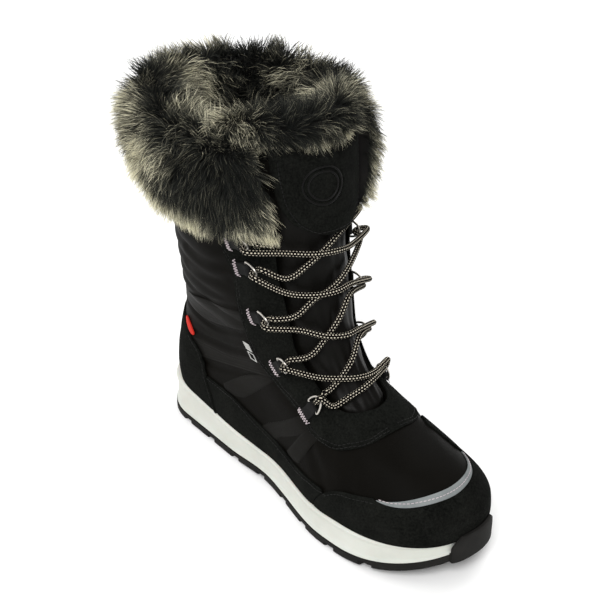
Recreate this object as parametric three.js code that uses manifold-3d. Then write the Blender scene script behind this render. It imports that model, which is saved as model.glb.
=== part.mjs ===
// Winter boot for the right foot: a laced, insulated boot with a fur cuff, empty and standing on its sole.
// Millimetres. X runs from heel to toe, Y to the inner side of the foot, Z up from the floor.

import * as THREE from 'three';
import { mergeVertices } from 'three/addons/utils/BufferGeometryUtils.js';
import Module from 'manifold-3d';

const wasm = await Module();
wasm.setup();

// Driving sizes of the sole
const SOLE_LENGTH = 280;
const HEEL_WIDTH = 76;
const WAIST_WIDTH = 76;
const BALL_WIDTH = 103;
const TOE_SWING = 12;
const TOE_SPRING = 15;
const HEEL_BEVEL = 3;
const ARCH_LIFT = 2;
const OUTSOLE_EDGE = 7;
const LUG_DEPTH = 4;
const LUG_PITCH = 28.8;
const GROOVE_WIDTH = 9;
const GROOVE_SLANT = 12;
const CHANNEL_WIDTH = 6;
const BUMPER_THICKNESS = 2.6;
const BUMPER_WIDTH = 32;
const BUMPER_HEIGHT = 36;
const MIDSOLE_WAISTING = 1.6;
const INSOLE_THICKNESS = 4;

// Driving sizes of the upper
const SEAT_HEEL = 34;
const SEAT_TOE = 31;
const SEAT_SAG = 8;
const ANKLE_HEIGHT = 106;
const INSTEP_HEIGHT = 92;
const COLLAR_BACK = 258;
const COLLAR_FRONT = 250;
const COLLAR_WIDTH = 116;
const WALL = 3;
const OVERLAY = 1.3;
const QUILT_RISE = 1.4;
const QUILT_CHANNELS = 5;
const THROAT_WIDTH = 66;
const THROAT_END = 62;
const MOUTH_CENTRE = 88;
const MOUTH_LENGTH = 42;
const MOUTH_WIDTH = 78.8;
const REFLECTOR_WIDTH = 5;
const REFLECTOR_THICKNESS = 0.9;
const TAG_THICKNESS = 1;

// Driving sizes of tongue, fur and lacing
const TONGUE_THICKNESS = 3;
const TONGUE_OVERLAP = 8;
const FLAP_WIDTH = 70;
const FLAP_DROP = 50;
const FLAP_THICKNESS = 3;
const FLAP_STANDOFF = 7;
const FLAP_BOW = 20;
const FLAP_LEAN = 4;
const TONGUE_FUR_WIDTH = 66;
const TONGUE_FUR_HEIGHT = 26;
const TONGUE_FUR_DEPTH = 25;
const FUR_DEPTH = 24;
const FUR_TOP = 16;
const FUR_LINING = 12;
const LOCK_LENGTH = 13;
const LOCK_RADIUS = 4.5;
const WIRE = 1.6;
const RING_WIDTH = 12.8;
const RING_REACH = 10;
const RING_TILT = 28;
const WEBBING = 1.1;
const TAB_WIDTH = 8.4;
const TAB_LENGTH = 11;
const LACE = 3.8;
const LACE_SIDES = 5;

// Clearances
const GAP = 0.3;
const FUR_GAP = 1.2;
const TAB_SINK = 0.2;
const TONGUE_GAP = 1;
const LACE_JOIN = 0.6;
const LACE_REST = 1.3;

// How finely the upper is cut into faces
const STATIONS = 32;
const FOOT_LEVELS = [0, 0.06, 0.13, 0.2, 0.28, 0.36];
const QUILT_LOW = 0.43;
const QUILT_HIGH = 0.735;
const COLLAR_LEVELS = [0.82, 0.91, 1];
const OVERLAY_TOP_LEVEL = 0.44;
const EYESTAY_TOP_LEVEL = 0.83;

const HALF_LENGTH = SOLE_LENGTH / 2;
const SEAM = GAP / 2;
const FAR = 2 * SOLE_LENGTH;
const PROBE = 0.003;
const RIM = 5;
const GOLDEN = 0.618034;

const X_AXIS = new THREE.Vector3(1, 0, 0);
const Y_AXIS = new THREE.Vector3(0, 1, 0);
const Z_AXIS = new THREE.Vector3(0, 0, 1);

// Reads rows of numbers into objects with named columns
function table(names, rows) {
  const columns = names.trim().split(/\s+/);
  return rows.map((row) => Object.fromEntries(columns.map((name, place) => [name, row[place]])));
}

// Sections of the foot, from the feather line up. back and front are shares of half the sole length, the rises
// are shares of the height from the feather line to ankle or instep, heel, waist and ball are shares of half the
// sole's widths, the caps are the rounded shares of the length, and swing is a share of the toe's swing.
const FOOT = table(
  'level back   backRise front frontRise heel   waist  ball   heelCap toeCap heelRound toeRound swing',
  [
    [0.00, -0.950, 0.000, 0.986, 0.000, 0.921, 0.895, 0.913, 0.14, 0.23, 2.3, 2.4, 0.92],
    [0.06, -0.957, 0.181, 0.993, 0.213, 0.947, 0.947, 0.922, 0.14, 0.23, 2.3, 2.4, 0.75],
    [0.13, -0.950, 0.375, 0.943, 0.443, 0.947, 0.921, 0.816, 0.15, 0.28, 2.3, 2.4, 0.50],
    [0.20, -0.936, 0.569, 0.807, 0.639, 0.921, 0.895, 0.718, 0.17, 0.38, 2.3, 2.4, 0.25],
    [0.28, -0.914, 0.792, 0.600, 0.803, 0.921, 0.895, 0.650, 0.20, 0.46, 2.2, 2.3, 0.08],
    [0.36, -0.900, 1.000, 0.414, 1.000, 0.947, 0.921, 0.621, 0.26, 0.50, 2.2, 2.1, 0.00],
  ],
);

// Sections of the shaft. The rises are shares of the height from ankle or instep to the collar, and the widths
// are shares of half the collar's width.
const SHAFT = table(
  'level back   backRise front frontRise heel   waist  ball   heelCap toeCap heelRound toeRound',
  [
    [0.46, -0.893, 0.132, 0.264, 0.139, 0.690, 0.672, 0.603, 0.34, 0.50, 2.2, 2.0],
    [0.58, -0.907, 0.289, 0.157, 0.323, 0.793, 0.776, 0.724, 0.44, 0.50, 2.1, 2.0],
    [0.72, -0.936, 0.487, 0.093, 0.532, 0.862, 0.862, 0.810, 0.50, 0.50, 2.1, 2.0],
    [0.86, -0.964, 0.697, 0.064, 0.747, 0.931, 0.931, 0.879, 0.50, 0.50, 2.1, 2.0],
    [1.00, -0.986, 1.000, 0.057, 1.000, 0.983, 1.000, 0.931, 0.50, 0.50, 2.1, 2.0],
  ],
);

// The sole's outline, with the same columns in millimetres
const SOLE_OUTLINE = {
  back: -HALF_LENGTH,
  front: HALF_LENGTH,
  heel: HEEL_WIDTH / 2,
  waist: WAIST_WIDTH / 2,
  ball: BALL_WIDTH / 2,
  heelCap: 0.13,
  toeCap: 0.24,
  heelRound: 2.3,
  toeRound: 2.3,
  swing: TOE_SWING,
};

// Where along the boot each width holds, and how the toe narrows
const WIDTH_STATIONS = [-0.01, 0.18, 0.45, 0.72, 1.01];
const TOE_NARROWING = 0.93;
const SWING_START = 0.3;
const SWING_POWER = 1.6;
const SAG_LEVEL = 0.25;

function clamp(value) {
  return Math.min(Math.max(value, 0), 1);
}

// A smooth curve through the values that never overshoots them
function monotone(knots, values) {
  const last = knots.length - 1;
  const width = (i) => knots[i + 1] - knots[i];
  const slope = (i) => (values[i + 1] - values[i]) / width(i);
  const inner = (i) => {
    const before = slope(i - 1);
    const after = slope(i);
    if (before * after <= 0) return 0;
    const heavy = 2 * width(i) + width(i - 1);
    const light = width(i) + 2 * width(i - 1);
    return (heavy + light) / (heavy / before + light / after);
  };
  const outer = (i, next) => {
    const reach = width(i) + width(next);
    const tangent = ((width(i) + reach) * slope(i) - width(i) * slope(next)) / reach;
    if (tangent * slope(i) <= 0) return 0;
    const turns = slope(i) * slope(next) <= 0 && Math.abs(tangent) > Math.abs(3 * slope(i));
    return turns ? 3 * slope(i) : tangent;
  };
  const tangents = knots.map((_, i) => {
    if (i === 0) return outer(0, 1);
    if (i === last) return outer(last - 1, last - 2);
    return inner(i);
  });
  return (place) => {
    const at = Math.min(Math.max(place, knots[0]), knots[last]);
    let i = 0;
    while (i < last - 1 && at > knots[i + 1]) i += 1;
    const share = (at - knots[i]) / width(i);
    const rest = 1 - share;
    return values[i] * (1 + 2 * share) * rest * rest
      + values[i + 1] * (1 + 2 * rest) * share * share
      + tangents[i] * width(i) * share * rest * rest
      - tangents[i + 1] * width(i) * rest * share * share;
  };
}

// The share of the seat's sag at each station from heel to toe
const sagShare = monotone([0, 0.12, 0.35, 0.6, 0.78, 1], [0, 0.25, 0.875, 1, 0.625, 0]);

function footSection(row) {
  return {
    level: row.level,
    back: row.back * HALF_LENGTH,
    front: row.front * HALF_LENGTH,
    backHeight: SEAT_HEEL + row.backRise * (ANKLE_HEIGHT - SEAT_HEEL),
    frontHeight: SEAT_TOE + row.frontRise * (INSTEP_HEIGHT - SEAT_TOE),
    heel: row.heel * HEEL_WIDTH / 2,
    waist: row.waist * WAIST_WIDTH / 2,
    ball: row.ball * BALL_WIDTH / 2,
    heelCap: row.heelCap,
    toeCap: row.toeCap,
    heelRound: row.heelRound,
    toeRound: row.toeRound,
    swing: row.swing * TOE_SWING,
  };
}

function shaftSection(row) {
  return {
    level: row.level,
    back: row.back * HALF_LENGTH,
    front: row.front * HALF_LENGTH,
    backHeight: ANKLE_HEIGHT + row.backRise * (COLLAR_BACK - ANKLE_HEIGHT),
    frontHeight: INSTEP_HEIGHT + row.frontRise * (COLLAR_FRONT - INSTEP_HEIGHT),
    heel: row.heel * COLLAR_WIDTH / 2,
    waist: row.waist * COLLAR_WIDTH / 2,
    ball: row.ball * COLLAR_WIDTH / 2,
    heelCap: row.heelCap,
    toeCap: row.toeCap,
    heelRound: row.heelRound,
    toeRound: row.toeRound,
    swing: 0,
  };
}

const SECTIONS = [...FOOT.map(footSection), ...SHAFT.map(shaftSection)];
const SECTION_COLUMNS = Object.keys(SECTIONS[0]).filter((name) => name !== 'level');
const columnCurves = Object.fromEntries(SECTION_COLUMNS.map((name) => [
  name,
  monotone(SECTIONS.map((row) => row.level), SECTIONS.map((row) => row[name])),
]));

function sectionAt(level) {
  return Object.fromEntries(SECTION_COLUMNS.map((name) => [name, columnCurves[name](level)]));
}

// Turns the share of a trip round the boot, from the heel by the outer side and the toe back, into a place
// from heel to toe and a side: -1 is the outer side of the foot, 1 the inner side
function placeOf(turn) {
  const wrapped = turn - Math.floor(turn);
  return { along: (1 - Math.cos(2 * Math.PI * wrapped)) / 2, side: wrapped < 0.5 ? -1 : 1 };
}

// How far a section lies from the X axis at one place
function sideways(section, along, side) {
  const { heel, waist, ball } = section;
  const width = monotone(WIDTH_STATIONS, [heel, heel, waist, ball, ball * TOE_NARROWING])(along);
  const heelEnd = clamp(1 - along / section.heelCap);
  const toeEnd = clamp((along - 1 + section.toeCap) / section.toeCap);
  const rounding = (1 - heelEnd ** section.heelRound) ** (1 / section.heelRound)
    * (1 - toeEnd ** section.toeRound) ** (1 / section.toeRound);
  const swing = section.swing * clamp((along - SWING_START) / (1 - SWING_START)) ** SWING_POWER;
  return swing + side * width * rounding;
}

// A point on the last's own surface
function lastPoint(turn, level) {
  const section = sectionAt(level);
  const { along, side } = placeOf(turn);
  const sag = SEAT_SAG * sagShare(along) * clamp(1 - level / SAG_LEVEL);
  return new THREE.Vector3(
    section.back + (section.front - section.back) * along,
    sideways(section, along, side),
    section.backHeight + (section.frontHeight - section.backHeight) * along - sag,
  );
}

// The way out of the last's surface, level at the feather line and at the collar so that rims stay flat
function lastNormal(turn, level) {
  const low = Math.max(level - PROBE, 0);
  const high = Math.min(level + PROBE, 1);
  const around = lastPoint(turn + PROBE, level).sub(lastPoint(turn - PROBE, level));
  const up = lastPoint(turn, high).sub(lastPoint(turn, low));
  const normal = around.cross(up);
  if (level === 0 || level === 1) normal.z = 0;
  return normal.normalize();
}

function pointOn(turn, level, out) {
  return lastPoint(turn, level).addScaledVector(lastNormal(turn, level), out);
}

// Soft channels across the back of the shaft
function quilt(turn, level) {
  const phase = (level - QUILT_LOW) / (QUILT_HIGH - QUILT_LOW);
  if (phase <= 0 || phase >= 1) return 0;
  const { along } = placeOf(turn);
  return QUILT_RISE * Math.abs(Math.sin(Math.PI * phase * QUILT_CHANNELS)) * clamp(1.5 - 2 * along);
}

const QUILT_LEVELS = Array.from(
  { length: 2 * QUILT_CHANNELS + 1 },
  (_, i) => QUILT_LOW + (QUILT_HIGH - QUILT_LOW) * i / (2 * QUILT_CHANNELS),
);
const LEVELS = [...FOOT_LEVELS, ...QUILT_LEVELS, ...COLLAR_LEVELS];
const LOW_LEVELS = LEVELS.filter((level) => level <= OVERLAY_TOP_LEVEL);

// One ring of points round the boot
function ring(level, out, quilted) {
  return Array.from({ length: STATIONS }, (_, station) => {
    const turn = station / STATIONS;
    return pointOn(turn, level, out + (quilted ? quilt(turn, level) : 0));
  });
}

// Triangles that close a ring of a foot plan, from side to side
function ladder(count) {
  const faces = [[0, 1, count - 1]];
  for (let i = 1; i < count / 2 - 1; i += 1) {
    faces.push([i, i + 1, count - i], [i + 1, count - i - 1, count - i]);
  }
  faces.push([count / 2 - 1, count / 2, count / 2 + 1]);
  return faces;
}

// Joins rings of points into one closed skin. The ends are closed with the given faces of a ring, or, without
// any, the last ring is joined to the first.
function skin(rings, endFaces) {
  const count = rings[0].length;
  const spans = endFaces ? rings.length - 1 : rings.length;
  const index = [];
  for (let row = 0; row < spans; row += 1) {
    const here = row * count;
    const next = ((row + 1) % rings.length) * count;
    for (let place = 0; place < count; place += 1) {
      const after = (place + 1) % count;
      index.push(here + place, here + after, next + after);
      index.push(here + place, next + after, next + place);
    }
  }
  const top = (rings.length - 1) * count;
  for (const [a, b, c] of endFaces ?? []) {
    index.push(a, c, b, top + a, top + b, top + c);
  }
  const geometry = new THREE.BufferGeometry();
  const positions = rings.flat().flatMap((point) => point.toArray());
  geometry.setAttribute('position', new THREE.Float32BufferAttribute(positions, 3));
  geometry.setIndex(index);
  return toSolid(geometry);
}

// A closed geometry as a solid, turned right side out if it isn't
function toSolid(geometry) {
  geometry.deleteAttribute('normal');
  geometry.deleteAttribute('uv');
  const merged = mergeVertices(geometry);
  const vertProperties = new Float32Array(merged.attributes.position.array);
  const triVerts = new Uint32Array(merged.index.array);
  const corner = (place) => new THREE.Vector3().fromArray(vertProperties, 3 * triVerts[place]);
  let volume = 0;
  for (let face = 0; face < triVerts.length; face += 3) {
    volume += corner(face).dot(corner(face + 1).cross(corner(face + 2)));
  }
  if (volume < 0) triVerts.reverse();
  return new wasm.Manifold(new wasm.Mesh({ numProp: 3, vertProperties, triVerts }));
}

function toGeometry(solid) {
  const mesh = solid.getMesh();
  const geometry = new THREE.BufferGeometry();
  geometry.setAttribute('position', new THREE.BufferAttribute(new Float32Array(mesh.vertProperties), 3));
  geometry.setIndex(Array.from(mesh.triVerts));
  return geometry;
}

function join(solids) {
  return solids.reduce((whole, solid) => whole.add(solid));
}

function cutBy(solid, tools) {
  return tools.reduce((rest, tool) => rest.subtract(tool), solid);
}

// Prisms on an outline that is seen from above, from the side or from the front
function prismFrom(outline, start, end, basis) {
  const shape = outline instanceof THREE.Shape ? outline : new THREE.Shape(outline);
  const geometry = new THREE.ExtrudeGeometry(shape, {
    depth: end - start, bevelEnabled: false, steps: 1, curveSegments: 10,
  });
  geometry.translate(0, 0, start);
  geometry.applyMatrix4(basis);
  return toSolid(geometry);
}

function planPrism(outline, bottom, top) {
  return prismFrom(outline, bottom, top, new THREE.Matrix4());
}

// The outline's first number is X and its second Z; it spans the sides from one Y to another
function sidePrism(outline, fromY, toY) {
  const basis = new THREE.Matrix4().makeBasis(X_AXIS, Z_AXIS, Y_AXIS.clone().negate());
  return prismFrom(outline, -toY, -fromY, basis);
}

// The outline's first number is Y and its second Z; it spans from one X to another
function frontPrism(outline, fromX, toX) {
  return prismFrom(outline, fromX, toX, new THREE.Matrix4().makeBasis(Y_AXIS, Z_AXIS, X_AXIS));
}

// An edge drawn in shares of half the sole length and of the instep's height
function footEdge(rows) {
  return rows.map(([along, up]) => new THREE.Vector2(along * HALF_LENGTH, up * INSTEP_HEIGHT));
}

// An edge drawn in shares of half the sole length and of the collar's height in front
function shaftEdge(rows) {
  return rows.map(([along, up]) => new THREE.Vector2(along * HALF_LENGTH, up * COLLAR_FRONT));
}

function raised(points, by) {
  return points.map((point) => new THREE.Vector3(point.x, point.y, point.z + by));
}

// A hollow shell between two larger or smaller forms of the last, open at both ends
function shell(levels, outer, inner, innerQuilted = true) {
  const outside = levels.map((level) => ring(level, outer, true));
  const inside = levels.map((level) => ring(level, inner, innerQuilted));
  const core = [raised(inside[0], -RIM), ...inside, raised(inside.at(-1), RIM)];
  return skin(outside, ladder(STATIONS)).subtract(skin(core, ladder(STATIONS)));
}

// The throat, seen from above: straight sides that close in a round end over the instep. Rows give the place
// as a share of the distance from the shaft's middle to the end, and the half width as a share.
const THROAT_BACK = -14;
const THROAT_SIDE = table(
  'place half',
  [
    [0.00, 1.06],
    [0.05, 1.00],
    [0.17, 0.88],
    [0.26, 0.82],
    [0.46, 0.70],
    [0.78, 0.63],
    [0.90, 0.49],
    [0.97, 0.26],
  ],
);

// The throat stays above this line, in shares of half the sole length and of the collar's height in front, so
// that it opens the front of the shaft and leaves the sides of the foot whole
const THROAT_BED = [
  [-0.100, 1.100],
  [-0.100, 0.640],
  [-0.057, 0.520],
  [-0.014, 0.448],
  [0.071, 0.384],
  [0.250, 0.328],
  [0.430, 0.300],
  [0.700, 0.280],
  [0.700, 1.100],
];

function throatOutline(grow) {
  const span = THROAT_END - THROAT_BACK;
  const side = THROAT_SIDE.map((row) => new THREE.Vector2(
    THROAT_BACK - grow + row.place * (span + 2 * grow),
    row.half * THROAT_WIDTH / 2 + grow,
  ));
  const mirrored = side.map((point) => new THREE.Vector2(point.x, -point.y)).reverse();
  return [...side, new THREE.Vector2(THROAT_END + grow, 0), ...mirrored];
}

function throat(grow) {
  const bed = shaftEdge(THROAT_BED).map((point) => point.sub(new THREE.Vector2(grow, grow)));
  return planPrism(throatOutline(grow), 0, FAR).intersect(sidePrism(bed, -FAR, FAR));
}

// Upper: one hollow shell, open at the collar, at the throat and underneath
function makeUpper() {
  return shell(LEVELS, 0, -WALL, false).subtract(throat(0));
}

// Eyestay: the overlay round the throat, with a lobe over the instep and the sewn-on tabs that hold the rings
const EYESTAY_EDGE = shaftEdge([
  [-0.300, 1.040],
  [-0.279, 0.780],
  [-0.275, 0.720],
  [-0.225, 0.665],
  [-0.229, 0.580],
  [-0.214, 0.472],
  [-0.150, 0.396],
  [-0.007, 0.356],
  [0.157, 0.322],
  [0.271, 0.288],
  [0.414, 0.284],
  [0.479, 0.298],
  [0.550, 0.318],
  [0.571, 0.345],
  [0.571, 1.040],
]);

function overlayShell(levels) {
  return shell(levels, GAP + OVERLAY, GAP);
}

function makeEyestay() {
  const levels = LEVELS.filter((level) => level <= EYESTAY_TOP_LEVEL);
  const suede = overlayShell(levels).intersect(sidePrism(EYESTAY_EDGE, -FAR, FAR)).subtract(throat(0));
  const tabs = RING_PLACES.flatMap((_, pair) => [makeTab(pair, -1), makeTab(pair, 1)]);
  return join([suede, ...tabs]);
}

// The mouth of the toe cap, seen from above, and the crescent that edges it
const MOUTH_MIDDLE = 4.5;
const MOUTH_SPREAD = 0.26;

function mouthOutline(shift, grow) {
  const shape = new THREE.Shape();
  shape.absellipse(
    MOUTH_CENTRE - shift, MOUTH_MIDDLE, MOUTH_LENGTH + grow, MOUTH_WIDTH / 2 + grow + shift * MOUTH_SPREAD,
    -Math.PI / 2, Math.PI / 2, false,
  );
  shape.lineTo(0, MOUTH_MIDDLE + MOUTH_WIDTH / 2);
  shape.lineTo(0, MOUTH_MIDDLE - MOUTH_WIDTH / 2);
  return shape;
}

function makeReflector() {
  const band = shell(LOW_LEVELS, GAP + REFLECTOR_THICKNESS, GAP);
  const front = new THREE.Box3(
    new THREE.Vector3(CAP_TOP_OUTER.at(-1)[0] * HALF_LENGTH + GAP, -FAR, SEAT_TOE),
    new THREE.Vector3(FAR, FAR, COLLAR_FRONT),
  );
  const outer = planPrism(mouthOutline(0, 0), INSTEP_HEIGHT / 2, INSTEP_HEIGHT);
  const inner = planPrism(mouthOutline(REFLECTOR_WIDTH, 0), 0, FAR);
  return band.intersect(outer).intersect(boxSolid(front)).subtract(inner);
}

function boxSolid(box) {
  const size = box.getSize(new THREE.Vector3());
  const centre = box.getCenter(new THREE.Vector3());
  const geometry = new THREE.BoxGeometry(size.x, size.y, size.z);
  geometry.translate(centre.x, centre.y, centre.z);
  return toSolid(geometry);
}

// Side outlines of the suede round the foot, in shares of half the sole length and of the instep's height.
// The cap's seams run from its top edge to the feather line.
const COUNTER_FRONT = [
  [-0.700, 0.870],
  [-0.621, 0.793],
  [-0.579, 0.707],
  [-0.557, 0.587],
  [-0.514, 0.424],
  [-0.493, 0.304],
  [-0.486, 0.000],
];
const COUNTER_TOP = [[-1.200, 1.070], [-0.920, 1.030], [-0.780, 0.955]];
const CAP_SEAM = [
  [0.343, 0.000],
  [0.350, 0.272],
  [0.364, 0.348],
  [0.443, 0.489],
];
const RAND_TOP_OUTER = [
  [-0.560, 0.615],
  [-0.329, 0.598],
  [-0.143, 0.522],
  [0.171, 0.457],
  [0.350, 0.478],
  [0.443, 0.489],
];
const CAP_TOP_OUTER = [
  [0.443, 0.489],
  [0.514, 0.554],
  [0.600, 0.587],
  [0.693, 0.620],
];
const RAND_TOP_INNER = [
  [-0.560, 0.615],
  [-0.329, 0.598],
  [-0.143, 0.560],
  [0.171, 0.590],
  [0.350, 0.680],
  [0.443, 0.760],
];
const CAP_TOP_INNER = [
  [0.443, 0.760],
  [0.540, 0.805],
  [0.571, 0.800],
  [0.600, 0.750],
  [0.693, 0.655],
];

function shifted(rows, by) {
  return rows.map(([along, up]) => [along + by / HALF_LENGTH, up]);
}

function makeCounter() {
  const outline = footEdge([[-1.2, 0], ...COUNTER_TOP, ...shifted(COUNTER_FRONT, -SEAM)]);
  return overlayShell(LOW_LEVELS).intersect(sidePrism(outline, -FAR, FAR));
}

function makeRand(top, fromY, toY) {
  const capSeam = CAP_SEAM.slice(0, -1);
  const outline = footEdge([
    ...shifted([...COUNTER_FRONT].reverse().slice(0, 4), SEAM),
    ...top.slice(0, -1),
    ...shifted([top.at(-1), ...[...capSeam].reverse()], -SEAM),
  ]);
  return overlayShell(LOW_LEVELS).intersect(sidePrism(outline, fromY, toY));
}

function capOutline(top) {
  const seam = shifted(CAP_SEAM.slice(0, -1), SEAM);
  const edge = shifted([top[0]], SEAM).concat(top.slice(1));
  const [lastAlong] = top.at(-1);
  return footEdge([...seam, ...edge, [lastAlong, 1], [1.2, 1], [1.2, 0]]);
}

function makeToeCap() {
  const outer = sidePrism(capOutline(CAP_TOP_OUTER), -FAR, TOE_SWING);
  const inner = sidePrism(capOutline(CAP_TOP_INNER), TOE_SWING, FAR);
  const mouth = planPrism(mouthOutline(0, GAP), INSTEP_HEIGHT / 2, FAR);
  const nose = boxSolid(new THREE.Box3(
    new THREE.Vector3(CAP_TOP_OUTER.at(-1)[0] * HALF_LENGTH, -FAR, 0),
    new THREE.Vector3(FAR, FAR, FAR),
  ));
  return overlayShell(LOW_LEVELS).intersect(outer.add(inner)).subtract(mouth.intersect(nose));
}

// Small woven tag that stands out of the seam above the counter, on the outer side
const TAG_OUTLINE = [[-0.750, 1.010], [-0.765, 0.960], [-0.700, 0.885], [-0.655, 0.900], [-0.690, 0.965]];

function makeTag() {
  return shell(LOW_LEVELS, GAP + TAG_THICKNESS, GAP).intersect(sidePrism(footEdge(TAG_OUTLINE), -FAR, 0));
}

// Heights of the sole's underside from heel to toe
function floorLine(along) {
  const spring = TOE_SPRING * clamp((along - 0.74) / 0.26) ** 2;
  const bevel = HEEL_BEVEL * clamp((0.1 - along) / 0.1) ** 2;
  const arch = ARCH_LIFT * Math.sin(Math.PI * clamp((along - 0.32) / 0.22)) ** 2;
  return spring + bevel + arch;
}

function seatHeight(along) {
  return SEAT_HEEL + (SEAT_TOE - SEAT_HEEL) * along - SEAT_SAG * sagShare(along);
}

// A ring round the sole's outline, grown outwards, at a height that may follow the length
function soleRing(grow, heightAt) {
  const section = {
    ...SOLE_OUTLINE,
    heel: SOLE_OUTLINE.heel + grow,
    waist: SOLE_OUTLINE.waist + grow,
    ball: SOLE_OUTLINE.ball + grow,
  };
  return Array.from({ length: STATIONS }, (_, station) => {
    const { along, side } = placeOf(station / STATIONS);
    const x = section.back - grow + (SOLE_LENGTH + 2 * grow) * along;
    return new THREE.Vector3(x, sideways(section, along, side), heightAt(along));
  });
}

// Side profile of the midsole: rise is a share of its height, waisting a share of how far it draws in
const MIDSOLE_SIDE = table(
  'rise waisting',
  [
    [0.00, 0.0],
    [0.22, 0.9],
    [0.72, 1.0],
    [0.90, 0.5],
    [1.00, 0.9],
  ],
);

function midsoleForm(grow, bottomGap, topGap) {
  const rings = MIDSOLE_SIDE.map((row) => soleRing(grow - row.waisting * MIDSOLE_WAISTING, (along) => {
    const bottom = floorLine(along) + OUTSOLE_EDGE + bottomGap;
    const top = seatHeight(along) - topGap;
    return bottom + row.rise * (top - bottom);
  }));
  return skin(rings, ladder(STATIONS));
}

function makeMidsole() {
  return midsoleForm(0, GAP, GAP);
}

// Outsole: a plate along the floor line, with slanted grooves between its lugs, a channel down the middle and
// a bumper that wraps up over the toe
const OUTSOLE_SIDE = table(
  'rise grow',
  [
    [0.00, -1.5],
    [0.25, 0.0],
    [1.00, 0.0],
  ],
);
const GROOVE_FIRST = -101.8;
const GROOVE_COUNT = 8;
const CHANNEL_BACK = -112;
const CHANNEL_FRONT = 96;

function groove(x, side) {
  const along = (x + HALF_LENGTH) / SOLE_LENGTH;
  const top = floorLine(along) + LUG_DEPTH;
  const length = BALL_WIDTH;
  const geometry = new THREE.BoxGeometry(GROOVE_WIDTH, length, top + BALL_WIDTH);
  geometry.translate(0, length / 2, top - (top + BALL_WIDTH) / 2);
  geometry.rotateZ(THREE.MathUtils.degToRad(GROOVE_SLANT));
  geometry.translate(Math.tan(THREE.MathUtils.degToRad(GROOVE_SLANT)) * BALL_WIDTH / 2 - GROOVE_WIDTH / 2, 0, 0);
  if (side < 0) geometry.scale(1, -1, 1);
  geometry.translate(x, 0, 0);
  return toSolid(geometry);
}

const BUMPER_FOOT = 0.2;
const BUMPER_SHOULDER = 0.95;
const BUMPER_SHOULDER_HEIGHT = 0.55;
const BUMPER_CREST = 0.4;
const BUMPER_CREST_HEIGHT = 0.95;
const BUMPER_BACK = 0.8;

function makeBumper() {
  const outer = skin(
    [BUMPER_FOOT, 1].map((rise) => soleRing(BUMPER_THICKNESS + GAP, (along) => {
      const bottom = floorLine(along);
      return bottom + rise * (BUMPER_HEIGHT - bottom);
    })),
    ladder(STATIONS),
  );
  const half = BUMPER_WIDTH / 2;
  const face = frontPrism([
    new THREE.Vector2(TOE_SWING - half, 0),
    new THREE.Vector2(TOE_SWING + half, 0),
    new THREE.Vector2(TOE_SWING + half * BUMPER_SHOULDER, BUMPER_HEIGHT * BUMPER_SHOULDER_HEIGHT),
    new THREE.Vector2(TOE_SWING + half * BUMPER_CREST, BUMPER_HEIGHT * BUMPER_CREST_HEIGHT),
    new THREE.Vector2(TOE_SWING - half * BUMPER_CREST, BUMPER_HEIGHT * BUMPER_CREST_HEIGHT),
    new THREE.Vector2(TOE_SWING - half * BUMPER_SHOULDER, BUMPER_HEIGHT * BUMPER_SHOULDER_HEIGHT),
  ], HALF_LENGTH * BUMPER_BACK, FAR);
  const inside = skin(
    [0, 1].map((rise) => soleRing(GAP, (along) => {
      const bottom = floorLine(along) + OUTSOLE_EDGE;
      return bottom + rise * (FAR - bottom);
    })),
    ladder(STATIONS),
  );
  const capRoom = skin(
    LOW_LEVELS.map((level) => ring(level, 2 * GAP + OVERLAY, true)),
    ladder(STATIONS),
  );
  return cutBy(outer.intersect(face), [inside, capRoom]);
}

function makeOutsole() {
  const rings = OUTSOLE_SIDE.map((row) => soleRing(row.grow, (along) => (
    floorLine(along) + row.rise * OUTSOLE_EDGE
  )));
  const plate = skin(rings, ladder(STATIONS)).add(makeBumper());
  const stations = Array.from({ length: GROOVE_COUNT }, (_, i) => GROOVE_FIRST + i * LUG_PITCH);
  const grooves = stations.flatMap((x) => [groove(x, 1), groove(x, -1)]);
  const channel = boxSolid(new THREE.Box3(
    new THREE.Vector3(CHANNEL_BACK, -CHANNEL_WIDTH / 2, -LUG_DEPTH),
    new THREE.Vector3(CHANNEL_FRONT, CHANNEL_WIDTH / 2, LUG_DEPTH),
  ));
  return cutBy(plate, [join(grooves), channel]);
}

// Insole: a plate inside the upper, resting on the midsole
function makeInsole() {
  const inset = WALL + 2 * GAP;
  const rings = [0, 1].map((rise) => ring(0, -inset, false).map((point) => (
    point.add(new THREE.Vector3(0, 0, rise * INSOLE_THICKNESS))
  )));
  return skin(rings, ladder(STATIONS));
}

// Tongue: a sheet under the throat's edges with a fuller middle that fills the throat
const TONGUE_ROOM = 2;
const TONGUE_SINK = 1;
const NOTCH_FRONT = -11;
const NOTCH_BOTTOM = 192;
const TONGUE_LEVELS = [0.13, 0.2, 0.28, 0.36, 0.43, 0.4605, 0.5215, 0.613, 0.82, 1];

function makeTongue() {
  const top = COLLAR_FRONT + TONGUE_ROOM - GAP;
  const profile = sidePrism([
    new THREE.Vector2(-FAR, 0),
    new THREE.Vector2(FAR, 0),
    new THREE.Vector2(FAR, top),
    new THREE.Vector2(NOTCH_FRONT, top),
    new THREE.Vector2(NOTCH_FRONT, NOTCH_BOTTOM),
    new THREE.Vector2(-FAR, NOTCH_BOTTOM),
  ], -FAR, FAR);
  const under = -WALL - TONGUE_GAP;
  const inside = under - TONGUE_THICKNESS;
  const sheet = shell(TONGUE_LEVELS, under, inside, false).intersect(throat(TONGUE_OVERLAP));
  const filling = shell(TONGUE_LEVELS, -TONGUE_SINK, inside, false).intersect(throat(-TONGUE_GAP));
  return sheet.add(filling).intersect(profile);
}

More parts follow.
